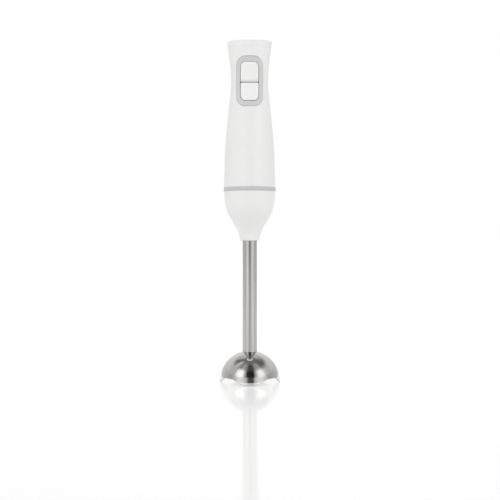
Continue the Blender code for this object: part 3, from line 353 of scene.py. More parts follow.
# %% Stainless steels
def steel_finish(name, dark, light, smooth, rough, grain_mm, depth_mm, spun=False, **constants):
    """Steel with streaks: noise read at (x, y, z), its grain stretched to three real sizes, or at (distance
    from the axis, 0, z) on a spun piece, where the lines run round the axis."""
    material, tree, shader, place = new_finish(name, rough, 1.0, **constants)
    if spun:
        flat = add_node(tree, "VectorMath", {0: place, 1: (1.0, 1.0, 0.0)}, operation="MULTIPLY")
        far = add_node(tree, "VectorMath", {0: flat.outputs["Vector"]}, operation="LENGTH")
        height = add_node(tree, "SeparateXYZ", {"Vector": place})
        place = add_node(tree, "CombineXYZ", {"X": far.outputs["Value"],
                                              "Z": height.outputs["Z"]}).outputs["Vector"]
    lines = add_node(tree, "Mapping", {"Vector": place, "Scale": tuple(map(every, grain_mm))})
    streaks = add_node(tree, "TexNoise", {"Vector": lines.outputs["Vector"], "Scale": 1.0, "Detail": 3.0})
    tint(tree, shader, streaks.outputs["Fac"], dark, light)
    vary_roughness(tree, shader, streaks.outputs["Fac"], smooth, rough)
    emboss(tree, shader, streaks.outputs["Fac"], depth_mm)
    return material


TUBE_STEEL = steel_finish("drawn_stainless", "#BAB8B3", "#D0CECA", 0.22, 0.28, (0.7, 0.7, 70), 0.003,
                          Anisotropic=0.9, Anisotropic_Rotation=0.25)
BELL_STEEL = steel_finish("buffed_stainless", "#D3D1CE", "#D8D6D3", 0.035, 0.07, (0.5, 0.5, 0.5), 0.0006,
                          spun=True)
BLADE_STEEL = steel_finish("ground_blade_steel", "#C4C4C3", "#CCCCCB", 0.12, 0.2, (0.5, 14, 14), 0.001)
SHAFT_STEEL = steel_finish("turned_steel", "#A9A9A9", "#B9B9B9", 0.22, 0.36, (0.35, 0.35, 0.35), 0.002,
                           spun=True)
print("steels:", TUBE_STEEL.name, BELL_STEEL.name, BLADE_STEEL.name, SHAFT_STEEL.name)

# %% [markdown]
# ## Finishes inside the handle and under the bell
# These parts hide behind the shells, or show only from below. Each still gets what its real material shows:
# crystals of zinc, pores in sintered bronze, copper wire, grains in ferrite, tracks on a circuit board.

# %% Plastics, rubber and minerals
def grainy(name, dark, light, roughness, grain_mm, depth_mm, metallic=0.0, **constants):
    """A finish whose colour, gloss and relief all follow one noise of a given grain."""
    material, tree, shader, place = new_finish(name, roughness, metallic, **constants)
    grain = add_node(tree, "TexNoise", {"Vector": place, "Scale": every(grain_mm), "Detail": 3.0})
    tint(tree, shader, grain.outputs["Fac"], dark, light)
    vary_roughness(tree, shader, grain.outputs["Fac"], roughness - 0.06, roughness + 0.06)
    emboss(tree, shader, grain.outputs["Fac"], depth_mm)
    return material


NYLON = grainy("glass_filled_nylon", "#3A3B3D", "#46474A", 0.52, 0.7, 0.01, IOR=1.53)
RUBBER = grainy("nitrile_rubber", "#222324", "#2B2C2D", 0.72, 0.5, 0.012, IOR=1.52)
FERRITE = grainy("pressed_ferrite", "#3B3C3F", "#4A4B4E", 0.6, 0.4, 0.02)
CARBON = grainy("graphite_brush", "#1E1E1F", "#2C2C2E", 0.55, 0.3, 0.01)
SINTERED = grainy("sintered_bronze", "#8E6A3E", "#B98F57", 0.42, 0.35, 0.015, 1.0)
print("grainy finishes:", NYLON.name, RUBBER.name, FERRITE.name, CARBON.name, SINTERED.name)

# %% Zinc plate, copper wire and circuit board
def zinc_plate():
    """Zinc-plated steel: crystals a few millimetres wide, each a slightly different grey."""
    material, tree, shader, place = new_finish("zinc_plated_steel", 0.38, 1.0)
    crystals = add_node(tree, "TexVoronoi", {"Vector": place, "Scale": every(2.2)})
    tint(tree, shader, crystals.outputs["Color"], "#A9ACB0", "#C3C6C9", 0.0, 1.0)
    vary_roughness(tree, shader, crystals.outputs["Distance"], 0.3, 0.46)
    return material


def lacquered_copper():
    """Lacquered copper wire: bands one wire apart, 0.6 mm, where a real winding has about 0.4 mm."""
    material, tree, shader, place = new_finish("lacquered_copper_wire", 0.3, 1.0)
    wires = add_node(tree, "TexWave", {"Vector": place, "Scale": every(0.6) / 20, "Distortion": 1.2,
                                       "Detail": 1.0}, bands_direction="DIAGONAL")
    tint(tree, shader, wires.outputs["Fac"], "#6E3016", "#C0673A", 0.1, 0.9)
    emboss(tree, shader, wires.outputs["Fac"], 0.12)
    return material


def circuit_board():
    """Green solder mask with slightly lighter tracks, 2.5 mm apart, that show through it."""
    material, tree, shader, place = new_finish("solder_mask_board", 0.35, IOR=1.5)
    turned_place = add_node(tree, "Mapping", {"Vector": place, "Rotation": (np.pi / 2, 0.0, 0.0)})
    tracks = add_node(tree, "TexBrick", {"Vector": turned_place.outputs["Vector"], "Scale": 1.0,
                                         "Color1": linear("#12512E"), "Color2": linear("#155A34"),
                                         "Mortar": linear("#2C8A55"), "Brick Width": 9 * MM,
                                         "Row Height": 2.5 * MM, "Mortar Size": 0.35 * MM})
    tree.links.new(tracks.outputs["Color"], shader.inputs["Base Color"])
    emboss(tree, shader, tracks.outputs["Fac"], 0.03)
    return material


ZINC, COPPER, BOARD = zinc_plate(), lacquered_copper(), circuit_board()
print("other finishes:", ZINC.name, COPPER.name, BOARD.name)

# %% [markdown]
# ## The front shell
# The front half of the handle is one moulding with a window for the buttons. A Boolean cut would leave long,
# thin triangles round the window. Instead the half is two grids: a plain one below, and above it a ring of
# quads that runs from the window's rounded outline to the edges of the half. Every point is then placed on
# the handle's surface, so the window's border follows the flat exactly.

# %% Rounded outlines
BUTTON_HALF_WIDTH, BUTTON_LOW_Z, BUTTON_HIGH_Z = 9.35, SEAM_Z + 90.7, SEAM_Z + 131.2
BUTTON_ROUND_R, BUTTON_TIGHT_R, BUTTON_CLEARANCE = 5.2, 0.9, 0.4
SURROUND_SIDE, SURROUND_END = 4.8, 6.2      # the surround's width beside and beyond the buttons
SURROUND_HALF_WIDTH, SURROUND_R = BUTTON_HALF_WIDTH + SURROUND_SIDE, BUTTON_ROUND_R + SURROUND_SIDE - GAP
SURROUND_LOW_Z, SURROUND_HIGH_Z = BUTTON_LOW_Z - SURROUND_END, BUTTON_HIGH_Z + SURROUND_END


def rounded_outline(half_width, low, high, low_r, high_r, arc_steps=12, side_steps=8):
    """(x, z) points round an upright rectangle with rounded corners: each corner is centre + r (cos, sin)
    over a quarter turn, and each side is divided evenly up to the next corner."""
    radius = np.array([low_r, high_r, high_r, low_r])
    sign_x, centre_z = np.array([1, 1, -1, -1]), np.array([low, high, high, low]) + radius * [1, -1, -1, 1]
    centre = np.stack([sign_x * (half_width - radius), centre_z], -1)
    turn = np.radians(np.array([-90, 0, 90, 180])[:, None] + np.linspace(0, 90, arc_steps + 1))
    arcs = centre[:, None] + radius[:, None, None] * np.stack([np.cos(turn), np.sin(turn)], -1)
    share = (np.arange(1, side_steps) / side_steps)[None, :, None]
    sides = arcs[:, -1:] + (np.roll(arcs[:, :1], -1, 0) - arcs[:, -1:]) * share
    return np.concatenate([arcs, sides], 1).reshape(-1, 2)


def surround_outline(spread=0.0):
    """The surround's outer edge, moved outwards by a spread."""
    return rounded_outline(SURROUND_HALF_WIDTH + spread, SURROUND_LOW_Z - spread, SURROUND_HIGH_Z + spread,
                           SURROUND_R + spread, SURROUND_R + spread)


OPENING_R = BUTTON_ROUND_R + BUTTON_CLEARANCE
OPENING = rounded_outline(BUTTON_HALF_WIDTH + BUTTON_CLEARANCE, BUTTON_LOW_Z - BUTTON_CLEARANCE,
                          BUTTON_HIGH_Z + BUTTON_CLEARANCE, OPENING_R, OPENING_R)
print("outline of", len(OPENING), "points; surround", SURROUND_LOW_Z, "to", SURROUND_HIGH_Z)

# %% Front shell
SHELL_LOW_Z, WINDOW_ZONE_Z = SEAM_Z + HAIRLINE, SEAM_Z + 78.0
SIDE_GAP = 0.1               # half of the hairline between the two shells
ACROSS, RISE = 72, 60        # quads along the window zone's foot and up its sides
PLAIN_ROWS, WINDOW_RINGS = 40, 15      # rows below the window zone, rings round the window
FRONT_EDGE = 0.06            # width of the broken edges
UNROLL_R = 20.0              # radius that turns angles into lengths while the ring of quads is laid out


def side_angle(height):
    """How far round from the side a shell stops, so that it stays clear of its neighbour."""
    return np.arcsin(SIDE_GAP / outline_radius(height))


def half_angle(share, height):
    """The angle at a share, 0 to 1, of the way across the front half."""
    start = side_angle(height)
    return np.pi + start + share * (np.pi - 2 * start)


def front_shell():
    """Lower grid: angle and height, evenly. Upper ring: (1 - w) window + w border in unrolled lengths,
    where each border point meets the window along a straight ray from the window's middle."""
    across, rise = np.linspace(0, 1, ACROSS + 1), np.linspace(WINDOW_ZONE_Z, CAP_SEAM_Z, RISE + 1)
    height, share = np.meshgrid(np.linspace(SHELL_LOW_Z, WINDOW_ZONE_Z, PLAIN_ROWS), across, indexing="ij")
    lower = handle_point(height, half_angle(share, height))
    share = np.r_[across[:-1], np.ones(RISE), across[:0:-1], np.zeros(RISE)]
    rim_z = np.r_[np.full(ACROSS, WINDOW_ZONE_Z), rise[:-1], np.full(ACROSS, CAP_SEAM_Z), rise[:0:-1]]
    middle_z = (SURROUND_LOW_Z + SURROUND_HIGH_Z) / 2
    rim = np.stack([(half_angle(share, rim_z) - 1.5 * np.pi) * UNROLL_R, rim_z - middle_z], -1)
    window = surround_outline(GAP / 2)
    unrolled = np.stack([(front_angle(window[:, 0], window[:, 1]) - 1.5 * np.pi) * UNROLL_R,
                         window[:, 1] - middle_z], -1)
    ray = np.arctan2(rim[:, 1], rim[:, 0])
    reach = np.interp(ray, np.arctan2(unrolled[:, 1], unrolled[:, 0]), np.hypot(*unrolled.T),
                      period=2 * np.pi)
    hole = np.stack([reach * np.cos(ray), reach * np.sin(ray)], -1)
    w = np.linspace(0, 1, WINDOW_RINGS)[:, None, None]
    spread = hole * (1 - w) + rim * w
    upper = handle_point(spread[..., 1] + middle_z, spread[..., 0] / UNROLL_R + 1.5 * np.pi)
    points = np.concatenate([lower.reshape(-1, 3), upper.reshape(-1, 3)])
    quads = np.concatenate([grid_quads(*lower.shape[:2]),
                            grid_quads(*upper.shape[:2], wrap_columns=True, first=lower[..., 0].size)])
    return make_piece("shell_front", points, quads, sheet=True)


def thicken(piece, wall, edge):
    """Solidify gives the moulding its wall, inwards; Bevel breaks its edges as a mould does."""
    solid = piece.modifiers.new("wall", "SOLIDIFY")
    solid.thickness, solid.offset = wall * MM, -1.0
    soft = piece.modifiers.new("edge", "BEVEL")
    soft.width, soft.segments, soft.limit_method = edge * MM, 2, "ANGLE"
    soft.angle_limit, soft.use_clamp_overlap = np.radians(50), False


shell = front_shell()
thicken(shell, WALL, FRONT_EDGE)
settle(shell, "handle", "white_plastic", SHELL_ABS, "front_shell")

# %% [markdown]
# ## The rear shell
# The motor breathes through six slots low in the back, where no finger covers them. They could be cut, but a
# grid that knows where the slots are gives cleaner edges: the quads inside each slot are left out, and the
# rows above and below it bend together at its round ends.

# %% Rear shell
VENT_COUNT, VENT_PITCH, VENT_HEIGHT, VENT_HALF_WIDTH, VENT_Z = 6, 5.0, 2.2, 9.0, SEAM_Z + 14.0
SHOULDER, LOW_ROWS, HIGH_ROWS = 1.4, 8, 60   # clear height beyond the slots, rows below and above
REAR_COLUMNS = 25            # columns across the slots, and again on each flank
REAR_EDGE = 0.12             # width of the broken edges
VENT_TURN = np.arcsin(VENT_HALF_WIDTH / outline_radius(VENT_Z + 14.0))


def rear_shell():
    """Columns by angle, closer near the slots' ends; rows by height. A slot's two edge rows sit at its
    middle height -+ h, with h = r sqrt(1 - ((|x| - (w - r)) / r)^2) over the round ends, 0 at the tip."""
    swing = -np.cos(np.linspace(0, np.pi, REAR_COLUMNS)) * VENT_TURN
    flank = np.linspace(VENT_TURN, np.pi / 2, REAR_COLUMNS)[1:]
    turn = np.r_[-flank[::-1], swing, flank]
    x = np.abs(turn) / VENT_TURN * VENT_HALF_WIDTH
    slot_r = VENT_HEIGHT / 2
    tip = np.clip((x - (VENT_HALF_WIDTH - slot_r)) / slot_r, 0, 1)
    opening = np.where(x < VENT_HALF_WIDTH, np.sqrt(1 - tip ** 2), np.clip((x - VENT_HALF_WIDTH) / 3, 0, 1))
    low = VENT_Z + np.arange(VENT_COUNT) * VENT_PITCH
    bars = low[1:] - (VENT_PITCH - VENT_HEIGHT) / 2
    rows = np.r_[np.linspace(SHELL_LOW_Z, VENT_Z - SHOULDER, LOW_ROWS), low, low + VENT_HEIGHT, bars,
                 np.linspace(low[-1] + VENT_HEIGHT + SHOULDER, CAP_SEAM_Z, HIGH_ROWS)]
    shift = np.r_[np.zeros(LOW_ROWS), np.full(VENT_COUNT, -1.0), np.full(VENT_COUNT, 1.0),
                  np.zeros(VENT_COUNT - 1 + HIGH_ROWS)]
    order = np.argsort(rows)
    rows, shift = rows[order], shift[order]
    height = (rows - shift * slot_r)[:, None] + shift[:, None] * slot_r * opening
    side = side_angle(height)
    angle = np.pi / 2 + turn * (np.pi / 2 - side) / (np.pi / 2)
    points = handle_point(height, angle)
    quads = grid_quads(*points.shape[:2])
    row, column = np.divmod(quads[:, 0], points.shape[1])
    inside = (shift[row] < 0) & (x[column] + x[column + 1] < 2 * VENT_HALF_WIDTH)
    return make_piece("shell_rear", points, quads[~inside], sheet=True)


shell = rear_shell()
thicken(shell, WALL, REAR_EDGE)
settle(shell, "handle", "white_plastic", SHELL_ABS, "rear_shell")

# %% [markdown]
# ## The top cap and the cord's grommet
# The cap closes the top, with its round hole behind the middle for the lead, and its skirt slips inside the
# shells. It is one closed loft: round the hole, out over the top, over the rounded edge, down the side and
# back inside. The grommet in the hole is turned rubber with rolled lips.

# %% Top cap
GLAND_Y, GLAND_R, GLAND_BORE_R = 5.0, 6.2, 3.6
SPIGOT_WALL, SPIGOT_DEPTH = 1.6, 5.0  # the skirt inside the shells
CAP_SIDE = 3.0               # height of the plain band between the seam and the rounded edge
CAP_HAIRLINE = 0.05          # its joint with the shells
ROUND_COLUMNS = 192          # columns of the large round pieces
TOP_SLOPE, TOP_SLOPE_Y = 0.12, -1.6   # in front of this y the top slopes down towards the buttons


def sloped(ring):
    """Lowers a ring's front: z - slope max(y_start - y, 0)."""
    return ring - np.maximum(TOP_SLOPE_Y - ring[:, 1:2], 0) * [0.0, 0.0, TOP_SLOPE]


def top_cap():
    """Rings at equal angles: circles of the hole, then the handle's section with growing inset; between
    the hole and the edge the top is the straight blend (1 - w) circle + w section."""
    angle = np.arange(ROUND_COLUMNS) / ROUND_COLUMNS * 2 * np.pi
    hole_r = GLAND_R + GAP
    hole = np.stack(np.broadcast_arrays(hole_r * np.cos(angle), GLAND_Y + hole_r * np.sin(angle), TOP_Z), -1)
    roof = TOP_Z - WALL
    drop = [0.0, 0.0, 1.0]
    edge = sloped(handle_point(TOP_Z, angle))
    hole_rings = [hole - np.multiply(drop, WALL), hole - np.multiply(drop, 0.3),
                  hole + (hole - [0, GLAND_Y, TOP_Z]) * [0.03, 0.03, 0] - np.multiply(drop, 0.08)]
    top = [hole * (1 - w) + edge * w for w in (0.08, 0.3, 0.55, 0.8, 1.0)]
    rounding = [sloped(handle_point(TOP_Z - TOP_CORNER * (1 - np.sin(t)), angle))
                for t in np.radians(np.arange(80, -1, -10))]
    side_z = np.linspace(CAP_SEAM_Z + CAP_SIDE, CAP_SEAM_Z + CAP_HAIRLINE, 4)
    side = [handle_point(z, angle) for z in side_z]
    outer, inner, foot = WALL + GAP, WALL + GAP + SPIGOT_WALL, CAP_SEAM_Z - SPIGOT_DEPTH
    skirt = [handle_point(z, angle, inset) for z, inset in
             ((CAP_SEAM_Z + CAP_HAIRLINE, outer), (foot, outer), (foot, inner))]
    under = sloped(handle_point(roof, angle, inner + 1.0))
    return loft("cap_top", hole_rings + top + rounding + side + skirt + [under])


settle(top_cap(), "handle", "white_plastic", SHELL_ABS, "top_cap")

# %% Cord grommet
FLANGE_HIGH_Z, FLANGE_R = TOP_Z - WALL - GAP, GLAND_R + 1.8
grommet = eased([(GLAND_BORE_R, TOP_Z - 0.2), (GLAND_R - 0.5, TOP_Z - 0.2), (GLAND_R, TOP_Z - 1.0),
                 (GLAND_R, FLANGE_HIGH_Z), (FLANGE_R, FLANGE_HIGH_Z), (FLANGE_R, FLANGE_HIGH_Z - 2.0),
                 (GLAND_R - 0.8, FLANGE_HIGH_Z - 4.0), (GLAND_BORE_R, FLANGE_HIGH_Z - 4.0)], 0.5)
settle(turned("grommet_lead", grommet, 96, GLAND_Y), "handle", "rubber", RUBBER, "cord_gland")

# %% [markdown]
# ## The button surround
# A satin grey frame lies in the window. From a fine outer rim it dips towards the buttons like a shallow
# dish, which guides the thumb. The profile is a list of (share of the way inwards, height above the shell),
# carried round the outline.

# %% Surround
SURROUND_PROFILE = [(0.0, -2.4), (0.0, -0.6), (0.02, -0.3), (0.06, -0.02), (0.12, 0.14), (0.19, 0.18),
                    (0.26, 0.08), (0.36, -0.12), (0.52, -0.28), (0.7, -0.4), (0.86, -0.5), (0.95, -0.56),
                    (0.985, -0.64), (1.0, -0.85), (1.0, -2.4)]
outer = surround_outline()
rings = [draped(outer * (1 - share) + OPENING * share, -rise) for share, rise in SURROUND_PROFILE]
settle(loft("frame_buttons", rings), "handle", "grey_plastic", SURROUND_ABS, "button_surround")

# %% [markdown]
# ## The two buttons
# Two thumb buttons share the opening, the upper one a little taller. Each has a softly crowned face: it falls
# away towards its edge as (1 - d / D)^2 over the last D millimetres, d being the distance from the edge. The
# upper one also rolls down towards the gap between them, so that a thumb slides over without a catch.

# %% Buttons
BUTTON_SPLIT_Z, BUTTON_SPLIT_GAP = SEAM_Z + 110.0, 1.0
BUTTON_PROUD, BUTTON_FALL, BUTTON_EASE, BUTTON_BACK_Y = 1.0, 0.75, 2.2, -14.4
BUTTON_ROLL, BUTTON_ROLL_HEIGHT = 2.5, 5.8


def button(name, low, high, low_r, high_r, roll):
    """Rings of the outline scaled by s about its middle: d = (1 - s) half width. Height above the shell =
    proud - fall (1 - d / ease)^2 - roll (1 - (z - low) / height)^2, where no bracket goes below 0."""
    outline = rounded_outline(BUTTON_HALF_WIDTH, low, high, low_r, high_r)
    middle = np.array([0.0, (low + high) / 2])
    scale = np.r_[1.0, 0.995, 0.985, 0.97, 0.95, 0.92, 0.88, 0.82, 0.75, 0.62, 0.45, 0.25, 0.0]
    face = middle + (outline - middle) * scale[:, None, None]
    d = (1 - scale)[:, None] * BUTTON_HALF_WIDTH
    rise = BUTTON_PROUD - BUTTON_FALL * np.clip(1 - d / BUTTON_EASE, 0, 1) ** 2
    rise = rise - roll * np.clip(1 - (face[..., 1] - low) / BUTTON_ROLL_HEIGHT, 0, 1) ** 2
    rings = list(draped(face, -rise))
    wall = np.stack([outline[:, 0], np.full(len(outline), BUTTON_BACK_Y), outline[:, 1]], -1)
    back = wall * [0.0, 1.0, 0.0] + [0.0, 0.0, middle[1]]
    return loft(name, [back, wall, draped(outline, 0.6 + roll)] + rings, closed=False)


half_gap = BUTTON_SPLIT_GAP / 2
upper = button("button_upper", BUTTON_SPLIT_Z + half_gap, BUTTON_HIGH_Z, BUTTON_TIGHT_R, BUTTON_ROUND_R,
               BUTTON_ROLL)
settle(upper, "button_low", "white_plastic", BUTTON_ABS, "button_low")
lower = button("button_lower", BUTTON_LOW_Z, BUTTON_SPLIT_Z - half_gap, BUTTON_ROUND_R, BUTTON_TIGHT_R, 0.0)
settle(lower, "button_high", "white_plastic", BUTTON_ABS, "button_high")

# %% [markdown]
# ## The ring and the cone
# The grey ring marks where the foot twists off, and stands a little proud with eased edges. Below it the
# cone carries the handle's outline on down to the tube, ending in a small rolled mouth. Both are turned.

# %% Ring and cone
RING_R, RING_BORE_R = box_mm("trim_ring")[1][0], 20.4
ring = eased([(RING_R, SEAM_Z), (RING_R, RING_LOW_Z), (RING_BORE_R, RING_LOW_Z), (RING_BORE_R, SEAM_Z)], 0.55)
settle(turned("ring_seam", ring, ROUND_COLUMNS), "handle", "grey_plastic", RING_ABS, "trim_ring")

top_edge, mouth_edge, lip_edge = 0.15, 0.7, 0.4     # how far the cone's edges are eased
CONE_ROWS = 72
cone_top = RING_LOW_Z - HAIRLINE
z = np.linspace(cone_top - top_edge, CONE_MOUTH_Z + mouth_edge, CONE_ROWS)
outside = np.stack([outline_radius(z), z], -1)
roll = np.radians(np.linspace(15, 90, 6))
mouth_r = outline_radius(CONE_MOUTH_Z + mouth_edge)
mouth = np.stack([mouth_r - mouth_edge * (1 - np.cos(roll)),
                  CONE_MOUTH_Z + mouth_edge * (1 - np.sin(roll))], -1)
z = z[::-1]
inside = np.stack([np.maximum(outline_radius(z) - CONE_WALL, TUBE_R + GAP / 3), z], -1)
lip = [(inside[0, 0] + lip_edge, CONE_MOUTH_Z), (inside[0, 0], CONE_MOUTH_Z + lip_edge)]
rim = [(inside[-1, 0], cone_top), (outside[0, 0] - top_edge, cone_top)]
cone = turned("cone_foot", np.concatenate([outside, mouth, lip, inside[1:], rim]), ROUND_COLUMNS)
settle(cone, "foot", "white_plastic", SHELL_ABS, "foot_cone")

# %% [markdown]
# ## The tube and the bell
# The steel tube runs down into the bell, a thin spun half ball. Its rim is cut in a wave: four flat-footed
# lobes to stand on, and four arches between them that let food in. Rows go down the outside, round the rim
# and back up the inside, and every column stops at its own rim height. A bead of weld joins it to the tube.

# %% Tube
tube = eased([(TUBE_R, TUBE_HIGH_Z), (TUBE_R, TUBE_LOW_Z), (TUBE_R - TUBE_WALL, TUBE_LOW_Z),
              (TUBE_R - TUBE_WALL, TUBE_HIGH_Z)], 0.25)
settle(turned("tube_shaft", tube, 128), "foot", "stainless", TUBE_STEEL, "shaft_tube")

# %% Bell
BELL_R, BELL_WALL, BELL_CENTRE_Z = 32.5, 1.0, 1.1
BELL_LOBES, BELL_ARCH, LOBE_FLAT, ARCH_GAIN = 4, 6.4, 0.1, 1.2
WELD_REACH = 0.6
BELL_COLUMNS, BELL_ROWS = 240, 56


def rim_height(angle):
    """Height of the rim: arch times the wave 0.5 - 0.5 cos(4 angle), stretched a little and cut off at 0
    and 1, so that the lobes have flat feet."""
    wave = 0.5 - 0.5 * np.cos(BELL_LOBES * angle)
    return BELL_ARCH * np.clip(wave * ARCH_GAIN - LOBE_FLAT, 0, 1)


def bell():
    """Points at a ball radius r and an angle t down from the top: (r sin t cos a, r sin t sin a,
    centre + r cos t). Outside r is the full radius, inside less by the wall, and over the rim r and t run
    round a half circle as wide as the wall."""
    angle = np.arange(BELL_COLUMNS) / BELL_COLUMNS * 2 * np.pi
    core, half = BELL_R - BELL_WALL / 2, BELL_WALL / 2
    stop = np.arccos((rim_height(angle) - BELL_CENTRE_Z) / core) - half / core
    start = np.arcsin((TUBE_R + WELD_REACH) / BELL_R)
    share = np.linspace(0, 1, BELL_ROWS)[:, None]
    bend = np.linspace(0, np.pi, 9)[1:-1, None]
    inner_start = np.arcsin((TUBE_R + GAP) / (BELL_R - BELL_WALL))
    down = np.concatenate([start + (stop - start) * share, stop + half / core * np.sin(bend),
                           inner_start + (stop - inner_start) * share[::-1]])
    radius = np.concatenate([np.full(BELL_ROWS, BELL_R), core + half * np.cos(bend[:, 0]),
                             np.full(BELL_ROWS, BELL_R - BELL_WALL)])[:, None]
    out, z = radius * np.sin(down), BELL_CENTRE_Z + radius * np.cos(down)
    t = np.linspace(0, 1, 7)[:-1]
    foot_z = BELL_CENTRE_Z + BELL_R * np.cos(start)
    weld_r = (TUBE_R + 0.02) * (1 - t * t) + (TUBE_R + WELD_REACH) * t * t
    weld_z = (foot_z + WELD_REACH) * (1 - t) ** 2 + (foot_z + 0.25) * (2 * t * (1 - t)) + foot_z * t * t
    out = np.concatenate([np.repeat(weld_r[:, None], BELL_COLUMNS, 1), out])
    z = np.concatenate([np.repeat(weld_z[:, None], BELL_COLUMNS, 1), z])
    return loft("bell_guard", np.stack([out * np.cos(angle), out * np.sin(angle), z], -1))


settle(bell(), "foot", "stainless", BELL_STEEL, "blade_guard")

# %% [markdown]
# ## Hub, blade, collar and nut
# Under the bell the hub holds the seal, and the blade turns below it: a strip of steel with one wing bent up
# and one down, each ground to an edge. The nut is a domed hexagon, so no food is trapped in a thread.

# %% Hub and collar
HUB_LOW_Z, HUB_HIGH_Z = box_mm("seal_hub")[0][2], box_mm("seal_hub")[1][2]
HUB_R, SPIGOT_R, HUB_BORE_R = TUBE_R + 2.4, TUBE_R - TUBE_WALL - 0.15, 5.3
FLANGE_TOP_Z = TUBE_LOW_Z - GAP
hub = eased([(SPIGOT_R, HUB_HIGH_Z), (SPIGOT_R, FLANGE_TOP_Z), (HUB_R, FLANGE_TOP_Z),
             (HUB_R, HUB_LOW_Z + 3.0), (HUB_R - 0.8, HUB_LOW_Z + 2.6), (HUB_R - 0.8, HUB_LOW_Z + 1.6),
             (HUB_R - 2.2, HUB_LOW_Z), (HUB_BORE_R, HUB_LOW_Z), (HUB_BORE_R, HUB_HIGH_Z)], 0.5)
settle(turned("hub_seal", hub, 96), "foot", "inner_plastic", NYLON, "seal_hub")

SHAFT_R = box_mm("drive_shaft")[1][0]
COLLAR_LOW_Z, COLLAR_HIGH_Z = box_mm("blade_collar")[0][2], box_mm("blade_collar")[1][2]
COLLAR_R = box_mm("blade_collar")[1][0]
NECK_R, COLLAR_BORE_R = COLLAR_R - 0.6, SHAFT_R + 0.05
collar = eased([(COLLAR_R, COLLAR_HIGH_Z), (COLLAR_R, COLLAR_HIGH_Z - 2.6), (NECK_R, COLLAR_HIGH_Z - 3.0),
                (NECK_R, COLLAR_LOW_Z + 2.2), (COLLAR_R, COLLAR_LOW_Z + 1.8), (COLLAR_R, COLLAR_LOW_Z),
                (COLLAR_BORE_R, COLLAR_LOW_Z), (COLLAR_BORE_R, COLLAR_HIGH_Z)], 0.25)
settle(turned("collar_blade", collar, 80), "driven_shaft", "steel", SHAFT_STEEL, "blade_collar")

# %% Nut
NUT_LOW_Z, NUT_HIGH_Z = box_mm("blade_nut")[0][2], box_mm("blade_nut")[1][2]
NUT_R, NUT_DOME = box_mm("blade_nut")[1][0], 2.3


def nut():
    """A hexagon, radius = apothem / cos(angle within 30 degrees of a flat), that melts into a dome towards
    its foot: dome radius = r sqrt(1 - t^2), with t the share of the way down the dome."""
    angle = np.arange(96) / 96 * 2 * np.pi
    hexagon = NUT_R * np.cos(np.pi / 6) / np.cos((angle + np.pi / 6) % (np.pi / 3) - np.pi / 6)
    t = np.sin(np.linspace(0, np.pi / 2, 10))
    dome_top = NUT_LOW_Z + NUT_DOME
    heights = np.r_[NUT_HIGH_Z, NUT_HIGH_Z, NUT_HIGH_Z - 0.3, dome_top + 0.3, dome_top - t * NUT_DOME]
    roundness = np.r_[1.0, 1.0, 0.0, 0.0, np.ones(10)][:, None]
    scale = np.r_[0.0, 0.97, 1.0, 1.0, 0.94 * np.sqrt(1 - t * t)][:, None]
    radius = (hexagon * (1 - roundness) + NUT_R * 0.92 * roundness) * scale
    z = np.broadcast_to(heights[:, None], radius.shape)
    return loft("nut_blade", np.stack([radius * np.cos(angle), radius * np.sin(angle), z], -1), closed=False)


settle(nut(), "driven_shaft", "steel", SHAFT_STEEL, "blade_nut")

# %% Blade
BLADE_R, BLADE_Z, BLADE_THICK, BLADE_HUB_R = 24.5, 14.0, 1.4, 6.0
BLADE_RISE, BLADE_ROOT_WIDTH, BLADE_TIP_WIDTH, BLADE_SWEEP, BLADE_GRIND = 3.6, 11.0, 7.5, 3.0, 2.6


def wing(side):
    """One wing: out from the hub by s, bent by rise (s - 0.2) / 0.8, swept back by sweep s^2, narrowing to a
    rounded tip. Across it runs a five-cornered section whose leading side is ground down to an edge."""
    s = np.sin(np.linspace(0, np.pi / 2, 26))[:, None]
    out = (2.0 + (BLADE_R - 2.0) * s)
    width = (BLADE_ROOT_WIDTH + (BLADE_TIP_WIDTH - BLADE_ROOT_WIDTH) * s) * np.sqrt(
        np.clip(1 - (np.clip(s - 0.86, 0, 1) / 0.14) ** 2, 0.02, 1))
    lift = BLADE_RISE * side * np.maximum(s - 0.2, 0) / 0.8
    half = BLADE_THICK / 2
    across = np.array([-0.5, -0.5, -0.46, 0.5, 0.5, 0.5])
    up = np.array([-half, half * 0.8, half, half, -half * 0.55, -half])
    grind = np.array([0.0, 0.0, 0.0, BLADE_GRIND, 0.0, 0.0])
    y = side * (across * width - np.minimum(grind, 0.8 * width) - BLADE_SWEEP * s ** 2)
    return np.stack(np.broadcast_arrays(side * out, y, BLADE_Z + lift + up), -1)


def blade():
    """Two wings and the hub disc they leave, in one mesh."""
    angle, corners = np.arange(64) / 64 * 2 * np.pi, eased(
        [(BLADE_HUB_R, BLADE_Z + 0.7), (BLADE_HUB_R, BLADE_Z - 0.7), (SHAFT_R + 0.1, BLADE_Z - 0.7),
         (SHAFT_R + 0.1, BLADE_Z + 0.7)], 0.25)
    radius, z = corners.T[:, :, None]
    disc = np.stack(np.broadcast_arrays(radius * np.cos(angle), radius * np.sin(angle), z + 0 * angle), -1)
    points, quads, first = [], [], 0
    for rings, wrap in ((disc, True), (wing(1), False), (wing(-1), False)):
        points.append(rings.reshape(-1, 3))
        quads.append(grid_quads(*rings.shape[:2], wrap_rows=wrap, wrap_columns=True, first=first))
        first += len(points[-1])
    return make_piece("blade_strip", np.concatenate(points), np.concatenate(quads))


settle(blade(), "driven_shaft", "stainless", BLADE_STEEL, "blade")

# %% [markdown]
# ## Materials for the solids that stay
# The motor, the switch board and the drive keep their own meshes. Each gets the finish of its real material.

